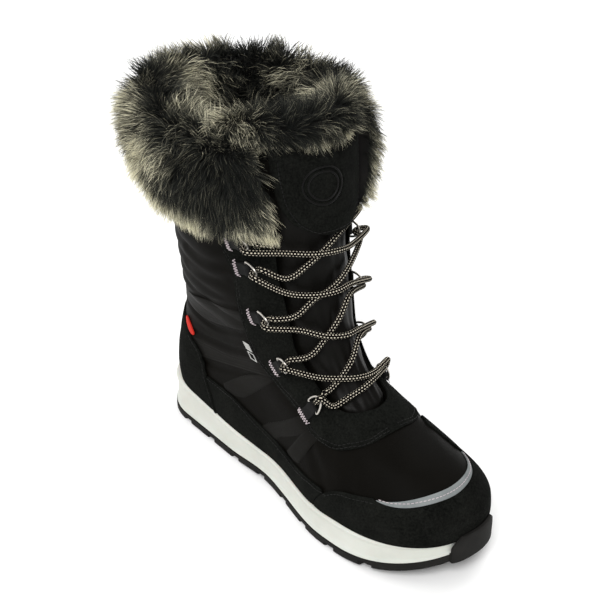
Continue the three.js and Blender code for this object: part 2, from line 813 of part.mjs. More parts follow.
// A closed sheet on a function of two shares, thickened along X
function thickSheet(across, down, pointAt, thickness) {
  const rings = Array.from({ length: down + 1 }, (_, row) => {
    const front = Array.from({ length: across + 1 }, (_, place) => pointAt(place / across, row / down));
    const back = front.map((point) => point.clone().sub(new THREE.Vector3(thickness, 0, 0))).reverse();
    return [...front, ...back];
  });
  const faces = [];
  for (let i = 0; i < across; i += 1) {
    const mirror = 2 * across + 1 - i;
    faces.push([i, i + 1, mirror], [i + 1, mirror - 1, mirror]);
  }
  return skin(rings, faces);
}

// Flap: a shield of suede that hangs in front of the tongue's top. Rows give its half width down the drop.
const FLAP_MIDDLE = 2;
const FLAP_ACROSS = 6;
const FLAP_DOWN = 5;
const FLAP_HALF = monotone([0, 0.45, 0.78, 0.92, 1], [1, 0.95, 0.79, 0.55, 0.2]);

function flapFront(y) {
  const share = (y - FLAP_MIDDLE) / (FLAP_WIDTH / 2);
  return pointOn(0.5, 1, FLAP_STANDOFF).x - FLAP_BOW * share * share;
}

function makeFlap() {
  const top = COLLAR_FRONT + TONGUE_ROOM - GAP;
  return thickSheet(FLAP_ACROSS, FLAP_DOWN, (across, down) => {
    const y = FLAP_MIDDLE + (2 * across - 1) * FLAP_WIDTH / 2 * FLAP_HALF(down);
    return new THREE.Vector3(flapFront(y) + FLAP_LEAN * down, y, top - FLAP_DROP * down);
  }, FLAP_THICKNESS);
}

// Fur roll over the tongue's top, with sections that shrink towards its ends
const ROLL_SECTION = table(
  'depth height',
  [
    [-0.50, 0.00],
    [0.42, 0.00],
    [0.62, 0.30],
    [0.58, 0.62],
    [0.30, 0.92],
    [-0.10, 1.00],
    [-0.45, 0.80],
    [-0.60, 0.40],
  ],
);
const ROLL_SECTIONS = 9;
const ROLL_LOCKS = 6;
const ROLL_BUMP = 0.1;
const ROLL_TIP = 0.35;
const ROLL_TAPER = 0.9;
// Places of the locks' roots in shares of the roll's half width, depth and height
const LOCK_SPREAD = 0.42;
const LOCK_FRONT = 0.14;
const LOCK_BACK = 0.2;
const LOCK_LOW = 0.35;
const LOCK_RISE = 0.35;
const LOCK_SINK = 0.2;

function makeTongueFur() {
  const bottom = COLLAR_FRONT + TONGUE_ROOM;
  const rings = Array.from({ length: ROLL_SECTIONS }, (_, i) => {
    const place = 2 * i / (ROLL_SECTIONS - 1) - 1;
    const swell = ROLL_TIP + (1 - ROLL_TIP) * Math.sqrt(1 - ROLL_TAPER * place * place);
    const bump = 1 + ROLL_BUMP * (i % 2);
    const y = FLAP_MIDDLE + place * TONGUE_FUR_WIDTH / 2;
    const middle = flapFront(y) - TONGUE_FUR_DEPTH / 4;
    return ROLL_SECTION.map((row) => new THREE.Vector3(
      middle + row.depth * TONGUE_FUR_DEPTH * swell,
      y,
      bottom + row.height * TONGUE_FUR_HEIGHT * swell * bump,
    ));
  });
  const outline = ROLL_SECTION.map((row) => new THREE.Vector2(row.depth, row.height));
  const roll = skin(rings, THREE.ShapeUtils.triangulateShape(outline, []));
  const locks = [];
  for (let i = 0; i < ROLL_LOCKS; i += 1) {
    const place = 2 * (i + 0.5) / ROLL_LOCKS - 1;
    const y = FLAP_MIDDLE + place * TONGUE_FUR_WIDTH * LOCK_SPREAD;
    const lift = (i * GOLDEN) % 1;
    const base = new THREE.Vector3(
      flapFront(y) + TONGUE_FUR_DEPTH * (LOCK_FRONT - LOCK_BACK * lift),
      y,
      bottom + TONGUE_FUR_HEIGHT * (LOCK_LOW + LOCK_RISE * lift),
    );
    locks.push(lock(base, new THREE.Vector3(1, place, lift - LOCK_SINK)));
  }
  return join([roll, ...locks]);
}

// One tapering lock of fur that grows from a point in a direction
function lock(base, direction) {
  const geometry = new THREE.ConeGeometry(LOCK_RADIUS, LOCK_LENGTH, 4);
  geometry.translate(0, LOCK_LENGTH / 2 - LOCK_RADIUS / 2, 0);
  geometry.applyQuaternion(new THREE.Quaternion().setFromUnitVectors(Y_AXIS, direction.normalize()));
  geometry.translate(base.x, base.y, base.z);
  return toSolid(geometry);
}

// Fur cuff: a band with the section of a hook that stands outside the shaft, rolls over the collar and lines it.
// out is a share of the depth outside or inside, rise a share of the height over the collar, reach the share of
// the front edges' slant, and clear is 1 where the fur lies against the shaft with a gap.
const FUR_SECTION = table(
  'level rise out lining clear reach',
  [
    [0.835, 0.00, 0.00, 0.0, 1, 1.0],
    [0.825, 0.00, 0.50, 0.0, 0, 1.0],
    [0.865, 0.00, 0.90, 0.0, 0, 0.9],
    [0.920, 0.00, 1.00, 0.0, 0, 0.6],
    [0.980, 0.00, 0.98, 0.0, 0, 0.4],
    [1.000, 0.45, 0.80, 0.0, 0, 0.2],
    [1.000, 0.85, 0.40, 0.0, 0, 0.1],
    [1.000, 1.00, -0.05, 0.0, 0, 0.0],
    [1.000, 0.75, 0.00, 0.8, 0, 0.0],
    [0.950, 0.00, 0.00, 1.0, 0, 0.0],
    [0.890, 0.00, 0.00, 0.7, 0, 0.0],
    [0.870, 0.00, 0.00, 0.0, -1, 0.0],
    [0.910, 0.00, 0.00, 0.0, -1, 0.0],
    [1.000, 0.07, 0.00, 0.0, -1, 0.1],
    [1.000, 0.07, 0.00, 0.0, 1, 0.2],
    [0.910, 0.00, 0.00, 0.0, 1, 0.6],
  ],
);
const FUR_END = 0.368;
const FUR_SLANT = 0.030;
const FUR_SPANS = 16;
const FUR_SWELL = 0.14;

function furPoint(row, turn, swell) {
  const clear = row.clear > 0 ? FUR_GAP : row.clear < 0 ? -WALL - FUR_GAP : 0;
  const depth = row.out * FUR_DEPTH * swell + clear - (row.lining > 0 ? WALL + row.lining * FUR_LINING : 0);
  const point = pointOn(turn, row.level, depth);
  point.z += row.rise * FUR_TOP;
  return point;
}

// The share from one front edge, by the heel, to the other as a turn round the boot
function furTurn(share, reach) {
  return (1 - 2 * share) * (FUR_END + FUR_SLANT * reach);
}

// Rows of locks on the cuff. share of the depth where they root, and how they lean down, out or up.
const FUR_LOCKS = table(
  'level rise out count down outward',
  [
    [0.850, 0.00, 0.66, 17, 1.0, 0.5],
    [0.900, 0.00, 0.90, 15, 0.6, 0.9],
    [0.970, 0.00, 0.92, 13, 0.1, 1.0],
    [1.000, 0.70, 0.45, 9, -0.9, 0.7],
  ],
);
const LOCK_MARGIN = 0.06;

function makeCollarFur() {
  const rings = Array.from({ length: FUR_SPANS + 1 }, (_, i) => {
    const share = i / FUR_SPANS;
    const end = i === 0 || i === FUR_SPANS;
    const swell = end ? 0.75 : 1 - FUR_SWELL * (i % 2);
    return FUR_SECTION.map((row) => furPoint(row, furTurn(share, row.reach), swell));
  });
  const outline = FUR_SECTION.map((row) => {
    const point = furPoint(row, 0, 1);
    return new THREE.Vector2(-point.x, point.z);
  });
  const band = skin(rings, THREE.ShapeUtils.triangulateShape(outline, []));
  const locks = FUR_LOCKS.flatMap((row) => Array.from({ length: row.count }, (_, i) => {
    const spread = LOCK_MARGIN + (1 - 2 * LOCK_MARGIN) * (i + 0.5) / row.count;
    const turn = furTurn(spread, 0);
    const base = furPoint({ ...row, lining: 0, clear: 0 }, turn, 1 - FUR_SWELL);
    const sway = (i * GOLDEN) % 1 - 0.5;
    const direction = lastNormal(turn, row.level).multiplyScalar(row.outward);
    direction.add(new THREE.Vector3(sway, 0, -row.down));
    return lock(base, direction);
  }));
  return join([band, ...locks]);
}

// Places of the five pairs of lace rings, from the top down: the turn and level of each ring's straight bar
const RING_PLACES = table(
  'turn level',
  [
    [0.335, 0.788],
    [0.340, 0.710],
    [0.336, 0.558],
    [0.332, 0.415],
    [0.350, 0.312],
  ],
);

// The frame of one ring: bar centre, the way to the throat, the way along the eyestay and the way out
function ringFrame(pair, side) {
  const turnOf = (row) => (side < 0 ? row.turn : 1 - row.turn);
  const place = (i) => pointOn(turnOf(RING_PLACES[i]), RING_PLACES[i].level, 0);
  const row = RING_PLACES[pair];
  const above = Math.max(pair - 1, 0);
  const below = Math.min(pair + 1, RING_PLACES.length - 1);
  const out = lastNormal(turnOf(row), row.level);
  const edge = place(above).sub(place(below));
  edge.addScaledVector(out, -edge.dot(out)).normalize();
  const inward = out.clone().cross(edge).multiplyScalar(side);
  const eye = (WIRE / 2 + GAP) * Math.SQRT2;
  const barHeight = GAP + OVERLAY - TAB_SINK + WEBBING + eye;
  const centre = place(pair).addScaledVector(out, barHeight);
  return { centre, inward, edge, out };
}

// The same frame tilted about the bar, as the lace lifts the ring
function tilted(frame) {
  const angle = THREE.MathUtils.degToRad(RING_TILT);
  return {
    ...frame,
    inward: frame.inward.clone().multiplyScalar(Math.cos(angle)).addScaledVector(frame.out, Math.sin(angle)),
    out: frame.out.clone().multiplyScalar(Math.cos(angle)).addScaledVector(frame.inward, -Math.sin(angle)),
  };
}

function inFrame(frame, inward, along, out) {
  return frame.centre.clone()
    .addScaledVector(frame.inward, inward)
    .addScaledVector(frame.edge, along)
    .addScaledVector(frame.out, out);
}

// Metal ring with a straight bar in the tab and a round bow towards the throat
const BOW_POINTS = 5;
const WIRE_SIDES = 4;

function makeRing(pair, side) {
  const frame = tilted(ringFrame(pair, side));
  const half = (RING_WIDTH - WIRE) / 2;
  const bow = Array.from({ length: BOW_POINTS + 2 }, (_, i) => {
    const angle = Math.PI * i / (BOW_POINTS + 1);
    return [RING_REACH * Math.sin(angle), -half * Math.cos(angle)];
  });
  const rings = bow.map(([inward, along], i) => {
    const centre = inFrame(frame, inward, along, 0);
    const before = bow[(i + bow.length - 1) % bow.length];
    const after = bow[(i + 1) % bow.length];
    const heading = new THREE.Vector2(after[0] - before[0], after[1] - before[1]).normalize();
    return Array.from({ length: WIRE_SIDES }, (_, k) => {
      const angle = 2 * Math.PI * k / WIRE_SIDES;
      const away = Math.cos(angle) * WIRE / 2;
      return centre.clone()
        .addScaledVector(frame.inward, heading.y * away)
        .addScaledVector(frame.edge, -heading.x * away)
        .addScaledVector(frame.out, Math.sin(angle) * WIRE / 2);
    });
  });
  return skin(rings);
}

// Webbing tab: a strap that lies on the eyestay and loops round the ring's bar
function makeTab(pair, side) {
  const frame = ringFrame(pair, side);
  const eye = (WIRE / 2 + GAP) * Math.SQRT2;
  const outer = eye + WEBBING;
  const bend = outer / 2;
  const shape = new THREE.Shape([
    new THREE.Vector2(-TAB_LENGTH, -outer),
    new THREE.Vector2(bend, -outer),
    new THREE.Vector2(outer, 0),
    new THREE.Vector2(bend, outer),
    new THREE.Vector2(-2 * outer, 2 * WEBBING - outer),
    new THREE.Vector2(-TAB_LENGTH, 2 * WEBBING - outer),
  ]);
  shape.holes.push(new THREE.Path([
    new THREE.Vector2(eye, 0),
    new THREE.Vector2(0, -eye),
    new THREE.Vector2(-eye, 0),
    new THREE.Vector2(0, eye),
  ]));
  const geometry = new THREE.ExtrudeGeometry(shape, { depth: TAB_WIDTH, bevelEnabled: false, steps: 1 });
  geometry.translate(0, 0, -TAB_WIDTH / 2);
  const across = frame.inward.clone().cross(frame.out);
  const basis = new THREE.Matrix4().makeBasis(frame.inward, frame.out, across);
  geometry.applyMatrix4(basis.setPosition(frame.centre));
  return toSolid(geometry);
}

// Lace routes between rings as turn, level and height over the tongue, chosen by hand. Strands that rise from
// the outer side run below, and those that rise from the inner side cross over them.
const LOW = LACE / 2 + LACE_REST;
const HIGH = LOW + LACE - LACE_JOIN;
const LACE_BAR = [[0.395, 0.342, 6], [0.435, 0.377, 5], [0.480, 0.398, 5], [0.525, 0.405, 5]];
const LACE_UNDER = [
  [[0.405, 0.390, 5], [0.440, 0.425, LOW], [0.490, 0.468, LOW], [0.540, 0.505, LOW]],
  [[0.400, 0.480, 5], [0.450, 0.535, LOW], [0.490, 0.575, LOW], [0.535, 0.618, LOW]],
  [[0.402, 0.592, 5], [0.445, 0.640, LOW], [0.490, 0.664, LOW], [0.540, 0.688, LOW]],
  [[0.405, 0.705, 5], [0.445, 0.742, LOW], [0.485, 0.780, LOW], [0.525, 0.808, LOW]],
];
const LACE_OVER = [
  [[0.530, 0.417, 5], [0.480, 0.425, HIGH], [0.440, 0.428, HIGH], [0.400, 0.425, HIGH]],
  [[0.535, 0.526, 5], [0.490, 0.532, HIGH], [0.450, 0.540, HIGH], [0.405, 0.556, HIGH]],
  [[0.535, 0.650, 5], [0.490, 0.655, HIGH], [0.445, 0.657, HIGH], [0.400, 0.663, HIGH]],
  [[0.550, 0.752, 5], [0.505, 0.768, HIGH], [0.460, 0.776, HIGH], [0.405, 0.784, HIGH]],
];
const LACE_END = [0.392, 0.800, 5];

// The turn of a lace through a ring, from above it to below it
const TURN_LEAD = 4;
const TURN_DRIFT = 1.6;
const TURN_STEPS = [-1, -0.75, -0.375, 0, 0.375, 0.75, 1];

function ringTurn(pair, side) {
  const frame = tilted(ringFrame(pair, side));
  const clear = (WIRE / 2 + GAP + LACE / 2) / Math.cos(Math.PI / 8);
  const slant = clear * Math.SQRT1_2;
  const reaches = [RING_REACH + TURN_LEAD, RING_REACH, RING_REACH - slant, RING_REACH - clear];
  const heights = [clear, clear, slant, 0];
  return TURN_STEPS.map((step, place) => {
    const row = Math.min(place, TURN_STEPS.length - 1 - place);
    const drift = step * TURN_DRIFT * (side < 0 ? 1 : -1);
    return inFrame(frame, reaches[row], drift, -Math.sign(step) * heights[row]);
  });
}

// A curve whose steps fall on its own points, however far apart they are
class StepCurve extends THREE.CatmullRomCurve3 {
  getPointAt(share, target) {
    return this.getPoint(share, target);
  }

  getTangentAt(share, target) {
    return this.getTangent(share, target);
  }
}

function cord(points) {
  const section = new THREE.Shape(Array.from({ length: LACE_SIDES }, (_, i) => {
    const angle = 2 * Math.PI * i / LACE_SIDES;
    return new THREE.Vector2(Math.cos(angle) * LACE / 2, Math.sin(angle) * LACE / 2);
  }));
  const curve = new StepCurve(points, false, 'centripetal');
  return toSolid(new THREE.ExtrudeGeometry(section, {
    steps: points.length - 1, bevelEnabled: false, extrudePath: curve,
  }));
}

function routed(rows) {
  return rows.map(([turn, level, out]) => pointOn(turn, level, out));
}

// The two strands start in one bar over the lowest rings and cross up to the top ones
function makeLaces() {
  const last = RING_PLACES.length - 1;
  const rising = [routed(LACE_BAR).slice(1, 2), routed(LACE_BAR).slice(0, 1)].flat();
  const crossing = routed(LACE_BAR).slice(1);
  for (let pair = last; pair > 0; pair -= 1) {
    const leg = last - pair;
    const fromOuter = leg % 2 === 0 ? rising : crossing;
    const fromInner = leg % 2 === 0 ? crossing : rising;
    fromOuter.push(...ringTurn(pair, -1), ...routed(LACE_UNDER[leg]));
    fromInner.push(...ringTurn(pair, 1).reverse(), ...routed(LACE_OVER[leg]));
  }
  rising.push(...ringTurn(0, -1), pointOn(...LACE_END));
  crossing.push(...ringTurn(0, 1).reverse());
  return cord(rising).add(cord(crossing));
}

// Finishes, as colour, roughness and metalness
const FINISHES = {
  rubber: [0x2b2b29, 0.8, 0],
  foam: [0xe9e9e3, 0.65, 0],
  suede: [0x161614, 0.95, 0],
  nylon: [0x1b1a17, 0.55, 0],
  film: [0x262521, 0.45, 0],
  reflective: [0x8f9292, 0.4, 0.2],
  felt: [0x2a2a2a, 0.95, 0],
  fur: [0x55534d, 1, 0],
  cord: [0x3a3833, 0.85, 0],
  metal: [0xa8a6a2, 0.3, 1],
  tag: [0xc2331f, 0.7, 0],
};

const boot = new THREE.Group();

function addPiece(name, solid, finish) {
  const [color, roughness, metalness] = FINISHES[finish];
  const mesh = new THREE.Mesh(
    toGeometry(solid),
    new THREE.MeshStandardMaterial({ color, roughness, metalness }),
  );
  mesh.name = name;
  boot.add(mesh);
}

addPiece('outsole', makeOutsole(), 'rubber');
addPiece('midsole', makeMidsole(), 'foam');
addPiece('insole', makeInsole(), 'felt');
addPiece('upper', makeUpper(), 'nylon');
addPiece('toe_cap', makeToeCap(), 'suede');
addPiece('toe_reflector', makeReflector(), 'reflective');
addPiece('rand_lateral', makeRand(RAND_TOP_OUTER, -FAR, 0), 'suede');
addPiece('rand_medial', makeRand(RAND_TOP_INNER, 0, FAR), 'suede');
addPiece('heel_counter', makeCounter(), 'suede');
addPiece('heel_tag', makeTag(), 'tag');
addPiece('eyestay', makeEyestay(), 'suede');
addPiece('tongue', makeTongue(), 'nylon');
addPiece('tongue_flap', makeFlap(), 'suede');
addPiece('tongue_fur', makeTongueFur(), 'fur');
addPiece('collar_fur', makeCollarFur(), 'fur');
addPiece('laces', makeLaces(), 'cord');

for (const [word, side] of [['lateral', -1], ['medial', 1]]) {
  RING_PLACES.forEach((_, pair) => {
    addPiece(`ring_${word}_${pair + 1}`, makeRing(pair, side), 'metal');
  });
}

// The origin is the middle of the boot's box, on the floor
const box = new THREE.Box3().setFromObject(boot);
const centre = box.getCenter(new THREE.Vector3());
boot.position.set(-centre.x, -centre.y, -box.min.z);

const group = new THREE.Group();
group.add(boot);
group.updateMatrixWorld(true);

export default group;
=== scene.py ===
"""Looks of a winter boot for the right foot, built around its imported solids.

Shapes are worked out in millimetres in the frame of the last, and turned into metres in the row's frame where
a mesh is made. Turn is the share of a trip round the boot from the heel by the outer side, level is 0 at the
feather line and 1 at the collar, and out is the distance from the last's surface.
"""

import logging
import math
from collections.abc import Callable, Sequence
from dataclasses import dataclass, field
from enum import Enum

import bmesh
import bpy
import numpy as np
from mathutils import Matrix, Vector


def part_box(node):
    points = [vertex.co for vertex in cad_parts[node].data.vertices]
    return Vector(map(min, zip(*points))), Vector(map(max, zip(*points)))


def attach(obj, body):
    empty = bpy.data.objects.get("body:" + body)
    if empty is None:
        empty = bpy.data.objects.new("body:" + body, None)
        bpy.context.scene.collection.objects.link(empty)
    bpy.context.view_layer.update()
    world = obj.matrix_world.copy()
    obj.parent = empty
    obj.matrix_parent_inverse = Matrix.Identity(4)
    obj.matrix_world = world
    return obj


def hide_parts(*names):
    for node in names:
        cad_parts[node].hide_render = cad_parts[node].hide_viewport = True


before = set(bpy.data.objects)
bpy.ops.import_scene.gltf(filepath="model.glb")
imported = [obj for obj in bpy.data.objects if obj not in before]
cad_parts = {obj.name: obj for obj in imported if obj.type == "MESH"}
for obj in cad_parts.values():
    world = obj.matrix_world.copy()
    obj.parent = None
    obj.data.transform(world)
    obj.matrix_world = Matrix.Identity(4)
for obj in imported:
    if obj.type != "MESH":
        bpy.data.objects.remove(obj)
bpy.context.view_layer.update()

Array = np.ndarray
Faces = list[list[int]]
Solid = tuple[Array, Faces]
Object = bpy.types.Object
Socket = bpy.types.NodeSocket
Color = tuple[float, float, float]
Inputs = dict[str | int, object]
LOG = logging.getLogger("winter_boot")

MM = 0.001
BODY = "root"
SEED = 11


class Side(Enum):
    """The two sides of the foot, as the sign of Y."""

    OUTER = -1
    INNER = 1


# Curves and outlines


def monotone(knots: Sequence[float], values: Array, places: Array) -> Array:
    """Smooth curve through values that never overshoots them.

    Args:
        knots: Places of the values, rising.
        values: Values at the knots along the last axis, one row for all places or one for each.
        places: Where the curve is wanted.

    Returns:
        One number for each place.
    """
    knots = np.asarray(knots, float)
    values = np.broadcast_to(np.asarray(values, float), (*np.shape(places), len(knots)))
    width = np.diff(knots)
    slope = np.diff(values, axis=-1) / width
    before, after = slope[..., :-1], slope[..., 1:]
    heavy = 2 * width[1:] + width[:-1]
    light = width[1:] + 2 * width[:-1]
    turning = before * after <= 0
    safe_before = np.where(turning, 1.0, before)
    safe_after = np.where(turning, 1.0, after)
    inner = np.where(turning, 0.0, (heavy + light) / (heavy / safe_before + light / safe_after))

    def outer(first: int, second: int) -> Array:
        """Tangent at an end.

        Args:
            first: The end's own interval.
            second: The next one.

        Returns:
            The tangent there.
        """
        reach = width[first] + width[second]
        tangent = ((width[first] + reach) * slope[..., first] - width[first] * slope[..., second]) / reach
        tangent = np.where(tangent * slope[..., first] <= 0, 0.0, tangent)
        steep = (slope[..., first] * slope[..., second] <= 0) & (abs(tangent) > abs(3 * slope[..., first]))
        return np.where(steep, 3 * slope[..., first], tangent)

    ends = (outer(0, 1)[..., None], outer(-1, -2)[..., None])
    tangents = np.concatenate([ends[0], inner, ends[1]], axis=-1)
    at = np.clip(places, knots[0], knots[-1])
    cell = np.clip(np.searchsorted(knots, at, side="right") - 1, 0, len(knots) - 2)
    share = (at - knots[cell]) / width[cell]
    rest = 1 - share

    def pick(rows: Array, columns: Array) -> Array:
        """One entry of each row."""
        return np.take_along_axis(rows, columns[..., None], axis=-1)[..., 0]

    return (
        pick(values, cell) * (1 + 2 * share) * rest**2
        + pick(values, cell + 1) * (1 + 2 * rest) * share**2
        + pick(tangents, cell) * width[cell] * share * rest**2
        - pick(tangents, cell + 1) * width[cell] * rest * share**2
    )


def rounded(outline: Array, rounds: int = 2) -> Array:
    """Closed outline with its corners cut round.

    Args:
        outline: Corners of the outline.
        rounds: How often they are cut.

    Returns:
        The finer outline.
    """
    points = np.asarray(outline, float)
    for _ in range(rounds):
        after = np.roll(points, -1, axis=0)
        points = np.stack([points * 0.75 + after * 0.25, points * 0.25 + after * 0.75], axis=1).reshape(-1, 2)
    return points


def depth_in(points: Array, outline: Array) -> Array:
    """Distance of each point from a closed outline, above 0 inside it.

    Args:
        points: Points in the outline's plane.
        outline: Corners of the outline.

    Returns:
        One distance for each point.
    """
    result = np.empty(len(points))
    start, end = outline, np.roll(outline, -1, axis=0)
    edge = end - start
    length = (edge**2).sum(1) + 1e-12
    for low in range(0, len(points), 8000):
        p = points[low : low + 8000, None, :]
        share = np.clip(((p - start) * edge).sum(2) / length, 0, 1)
        near = (((start + share[..., None] * edge) - p) ** 2).sum(2).min(1) ** 0.5
        above = (start[:, 1] > p[..., 1]) != (end[:, 1] > p[..., 1])
        height = np.where(edge[:, 1] == 0, 1.0, edge[:, 1])
        crossing = start[:, 0] + (p[..., 1] - start[:, 1]) / height * edge[:, 0]
        inside = (above & (p[..., 0] < crossing)).sum(1) % 2 == 1
        result[low : low + 8000] = np.where(inside, near, -near)
    return result


def distance_to(points: Array, path: Array) -> Array:
    """Distance of each point from an open path.

    Args:
        points: Points in the path's plane.
        path: Points of the path.

    Returns:
        One distance for each point.
    """
    start, end = path[:-1], path[1:]
    edge = end - start
    length = (edge**2).sum(1) + 1e-12
    share = np.clip(((points[:, None] - start) * edge).sum(2) / length, 0, 1)
    return ((((start + share[..., None] * edge) - points[:, None]) ** 2).sum(2) ** 0.5).min(1)


def smooth_path(points: Array, step: float, closed: bool = False) -> Array:
    """Path through the points on one smooth curve, in equal steps.

    Args:
        points: Rows of coordinates.
        step: Length of a step, in the points' unit.
        closed: Whether the path joins its own start.

    Returns:
        The new rows, without a repeated last one where the path is closed.
    """
    rows = np.asarray(points, float)
    if closed:
        ext = np.vstack([rows[-1], rows, rows[:2]])
    else:
        ext = np.vstack([2 * rows[0] - rows[1], rows, 2 * rows[-1] - rows[-2]])
    knots = np.concatenate([[0], np.cumsum(np.linalg.norm(np.diff(ext, axis=0), axis=1) ** 0.5 + 1e-9)])
    pieces = []
    for i in range(1, len(ext) - 2):
        t = np.linspace(knots[i], knots[i + 1], 24, endpoint=False)[:, None]
        k0, k1, k2, k3 = knots[i - 1 : i + 3]
        p0, p1, p2, p3 = ext[i - 1 : i + 3]
        a1 = (k1 - t) / (k1 - k0) * p0 + (t - k0) / (k1 - k0) * p1
        a2 = (k2 - t) / (k2 - k1) * p1 + (t - k1) / (k2 - k1) * p2
        a3 = (k3 - t) / (k3 - k2) * p2 + (t - k2) / (k3 - k2) * p3
        b1 = (k2 - t) / (k2 - k0) * a1 + (t - k0) / (k2 - k0) * a2
        b2 = (k3 - t) / (k3 - k1) * a2 + (t - k1) / (k3 - k1) * a3
        pieces.append((k2 - t) / (k2 - k1) * b1 + (t - k1) / (k2 - k1) * b2)
    dense = np.vstack([*pieces, ext[-2][None]])
    run = np.concatenate([[0], np.cumsum(np.linalg.norm(np.diff(dense, axis=0), axis=1))])
    count = max(int(round(run[-1] / step)), 3)
    wanted = np.linspace(0, run[-1], count + 1)
    if closed:
        wanted = wanted[:-1]
    return np.stack([np.interp(wanted, run, dense[:, k]) for k in range(dense.shape[1])], axis=1)


# The last

SECTION_NAMES = "back back_height front front_height heel waist ball heel_cap toe_cap heel_round toe_round swing"


@dataclass
class Last:
    """The last: sections worked out from the boot's own sizes, as in the solids.

    Lengths are in millimetres, and the rows hold shares of them.
    """

    half_length: float = 140.0
    heel_width: float = 76.0
    waist_width: float = 76.0
    ball_width: float = 103.0
    toe_swing: float = 12.0
    seat_heel: float = 34.0
    seat_toe: float = 31.0
    seat_sag: float = 8.0
    ankle: float = 106.0
    instep: float = 92.0
    collar_back: float = 258.0
    collar_front: float = 250.0
    collar_width: float = 116.0
    width_stations: tuple[float, ...] = (-0.01, 0.18, 0.45, 0.72, 1.01)
    toe_narrowing: float = 0.93
    swing_start: float = 0.3
    swing_power: float = 1.6
    sag_level: float = 0.25
    quilt_low: float = 0.43
    quilt_high: float = 0.735
    quilt_channels: int = 5
    quilt_rise: float = 1.4
    wall: float = 3.0
    # level back backRise front frontRise heel waist ball heelCap toeCap heelRound toeRound swing
    foot: tuple[tuple[float, ...], ...] = (
        (0.00, -0.950, 0.000, 0.986, 0.000, 0.921, 0.895, 0.913, 0.14, 0.23, 2.3, 2.4, 0.92),
        (0.06, -0.957, 0.181, 0.993, 0.213, 0.947, 0.947, 0.922, 0.14, 0.23, 2.3, 2.4, 0.75),
        (0.13, -0.950, 0.375, 0.943, 0.443, 0.947, 0.921, 0.816, 0.15, 0.28, 2.3, 2.4, 0.50),
        (0.20, -0.936, 0.569, 0.807, 0.639, 0.921, 0.895, 0.718, 0.17, 0.38, 2.3, 2.4, 0.25),
        (0.28, -0.914, 0.792, 0.600, 0.803, 0.921, 0.895, 0.650, 0.20, 0.46, 2.2, 2.3, 0.08),
        (0.36, -0.900, 1.000, 0.414, 1.000, 0.947, 0.921, 0.621, 0.26, 0.50, 2.2, 2.1, 0.00),
    )
    shaft: tuple[tuple[float, ...], ...] = (
        (0.46, -0.893, 0.132, 0.264, 0.139, 0.690, 0.672, 0.603, 0.34, 0.50, 2.2, 2.0, 0.0),
        (0.58, -0.907, 0.289, 0.157, 0.323, 0.793, 0.776, 0.724, 0.44, 0.50, 2.1, 2.0, 0.0),
        (0.72, -0.936, 0.487, 0.093, 0.532, 0.862, 0.862, 0.810, 0.50, 0.50, 2.1, 2.0, 0.0),
        (0.86, -0.964, 0.697, 0.064, 0.747, 0.931, 0.931, 0.879, 0.50, 0.50, 2.1, 2.0, 0.0),
        (1.00, -0.986, 1.000, 0.057, 1.000, 0.983, 1.000, 0.931, 0.50, 0.50, 2.1, 2.0, 0.0),
    )
    shift: Array = field(default_factory=lambda: np.zeros(3))

    def __post_init__(self) -> None:
        """Works out the sections, and finds the row's frame from the insole's box."""
        rows = [self._foot_row(r) for r in self.foot] + [self._shaft_row(r) for r in self.shaft]
        self.levels = np.array([r[0] for r in rows])
        self.columns = np.array([r[1:] for r in rows]).T
        stations = np.arange(32) / 32
        inset = -self.wall - 0.6
        ring = self.at(stations, np.zeros(32), inset)
        self.shift = np.array(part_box("insole")[0]) / MM - ring.min(0)

    def _foot_row(self, r: Sequence[float]) -> list[float]:
        """One section of the foot in millimetres.

        Args:
            r: Shares of the foot's sizes.

        Returns:
            The level, and the section's sizes.
        """
        return [
            r[0],
            r[1] * self.half_length,
            self.seat_heel + r[2] * (self.ankle - self.seat_heel),
            r[3] * self.half_length,
            self.seat_toe + r[4] * (self.instep - self.seat_toe),
            r[5] * self.heel_width / 2,
            r[6] * self.waist_width / 2,
            r[7] * self.ball_width / 2,
            *r[8:12],
            r[12] * self.toe_swing,
        ]

    def _shaft_row(self, r: Sequence[float]) -> list[float]:
        """One section of the shaft in millimetres.

        Args:
            r: Shares of the shaft's sizes.

        Returns:
            The level, and the section's sizes.
        """
        return [
            r[0],
            r[1] * self.half_length,
            self.ankle + r[2] * (self.collar_back - self.ankle),
            r[3] * self.half_length,
            self.instep + r[4] * (self.collar_front - self.instep),
            *(share * self.collar_width / 2 for share in r[5:8]),
            *r[8:12],
            0.0,
        ]

    def sag(self, along: Array) -> Array:
        """Share of the seat's sag from heel to toe."""
        return monotone([0, 0.12, 0.35, 0.6, 0.78, 1], [0, 0.25, 0.875, 1, 0.625, 0], along)

    @staticmethod
    def along(turn: Array) -> tuple[Array, Array]:
        """Place from heel to toe and side of each turn."""
        wrapped = turn - np.floor(turn)
        return (1 - np.cos(2 * np.pi * wrapped)) / 2, np.where(wrapped < 0.5, -1.0, 1.0)

    def sideways(self, section: dict[str, Array], along: Array, side: Array) -> Array:
        """How far a section lies from the X axis at one place.

        Args:
            section: Sizes of the section by name.
            along: Shares of the length from heel to toe.
            side: The sign of Y of each place.

        Returns:
            The places across the boot.
        """
        heel, waist, ball = (np.broadcast_to(section[k], along.shape) for k in ("heel", "waist", "ball"))
        values = np.stack([heel, heel, waist, ball, ball * self.toe_narrowing], axis=-1)
        width = monotone(self.width_stations, values, along)
        heel_end = np.clip(1 - along / section["heel_cap"], 0, 1)
        toe_end = np.clip((along - 1 + section["toe_cap"]) / section["toe_cap"], 0, 1)
        heel_part = (1 - heel_end ** section["heel_round"]) ** (1 / section["heel_round"])
        toe_part = (1 - toe_end ** section["toe_round"]) ** (1 / section["toe_round"])
        start = self.swing_start
        swing = section["swing"] * np.clip((along - start) / (1 - start), 0, 1) ** self.swing_power
        return swing + side * width * heel_part * toe_part

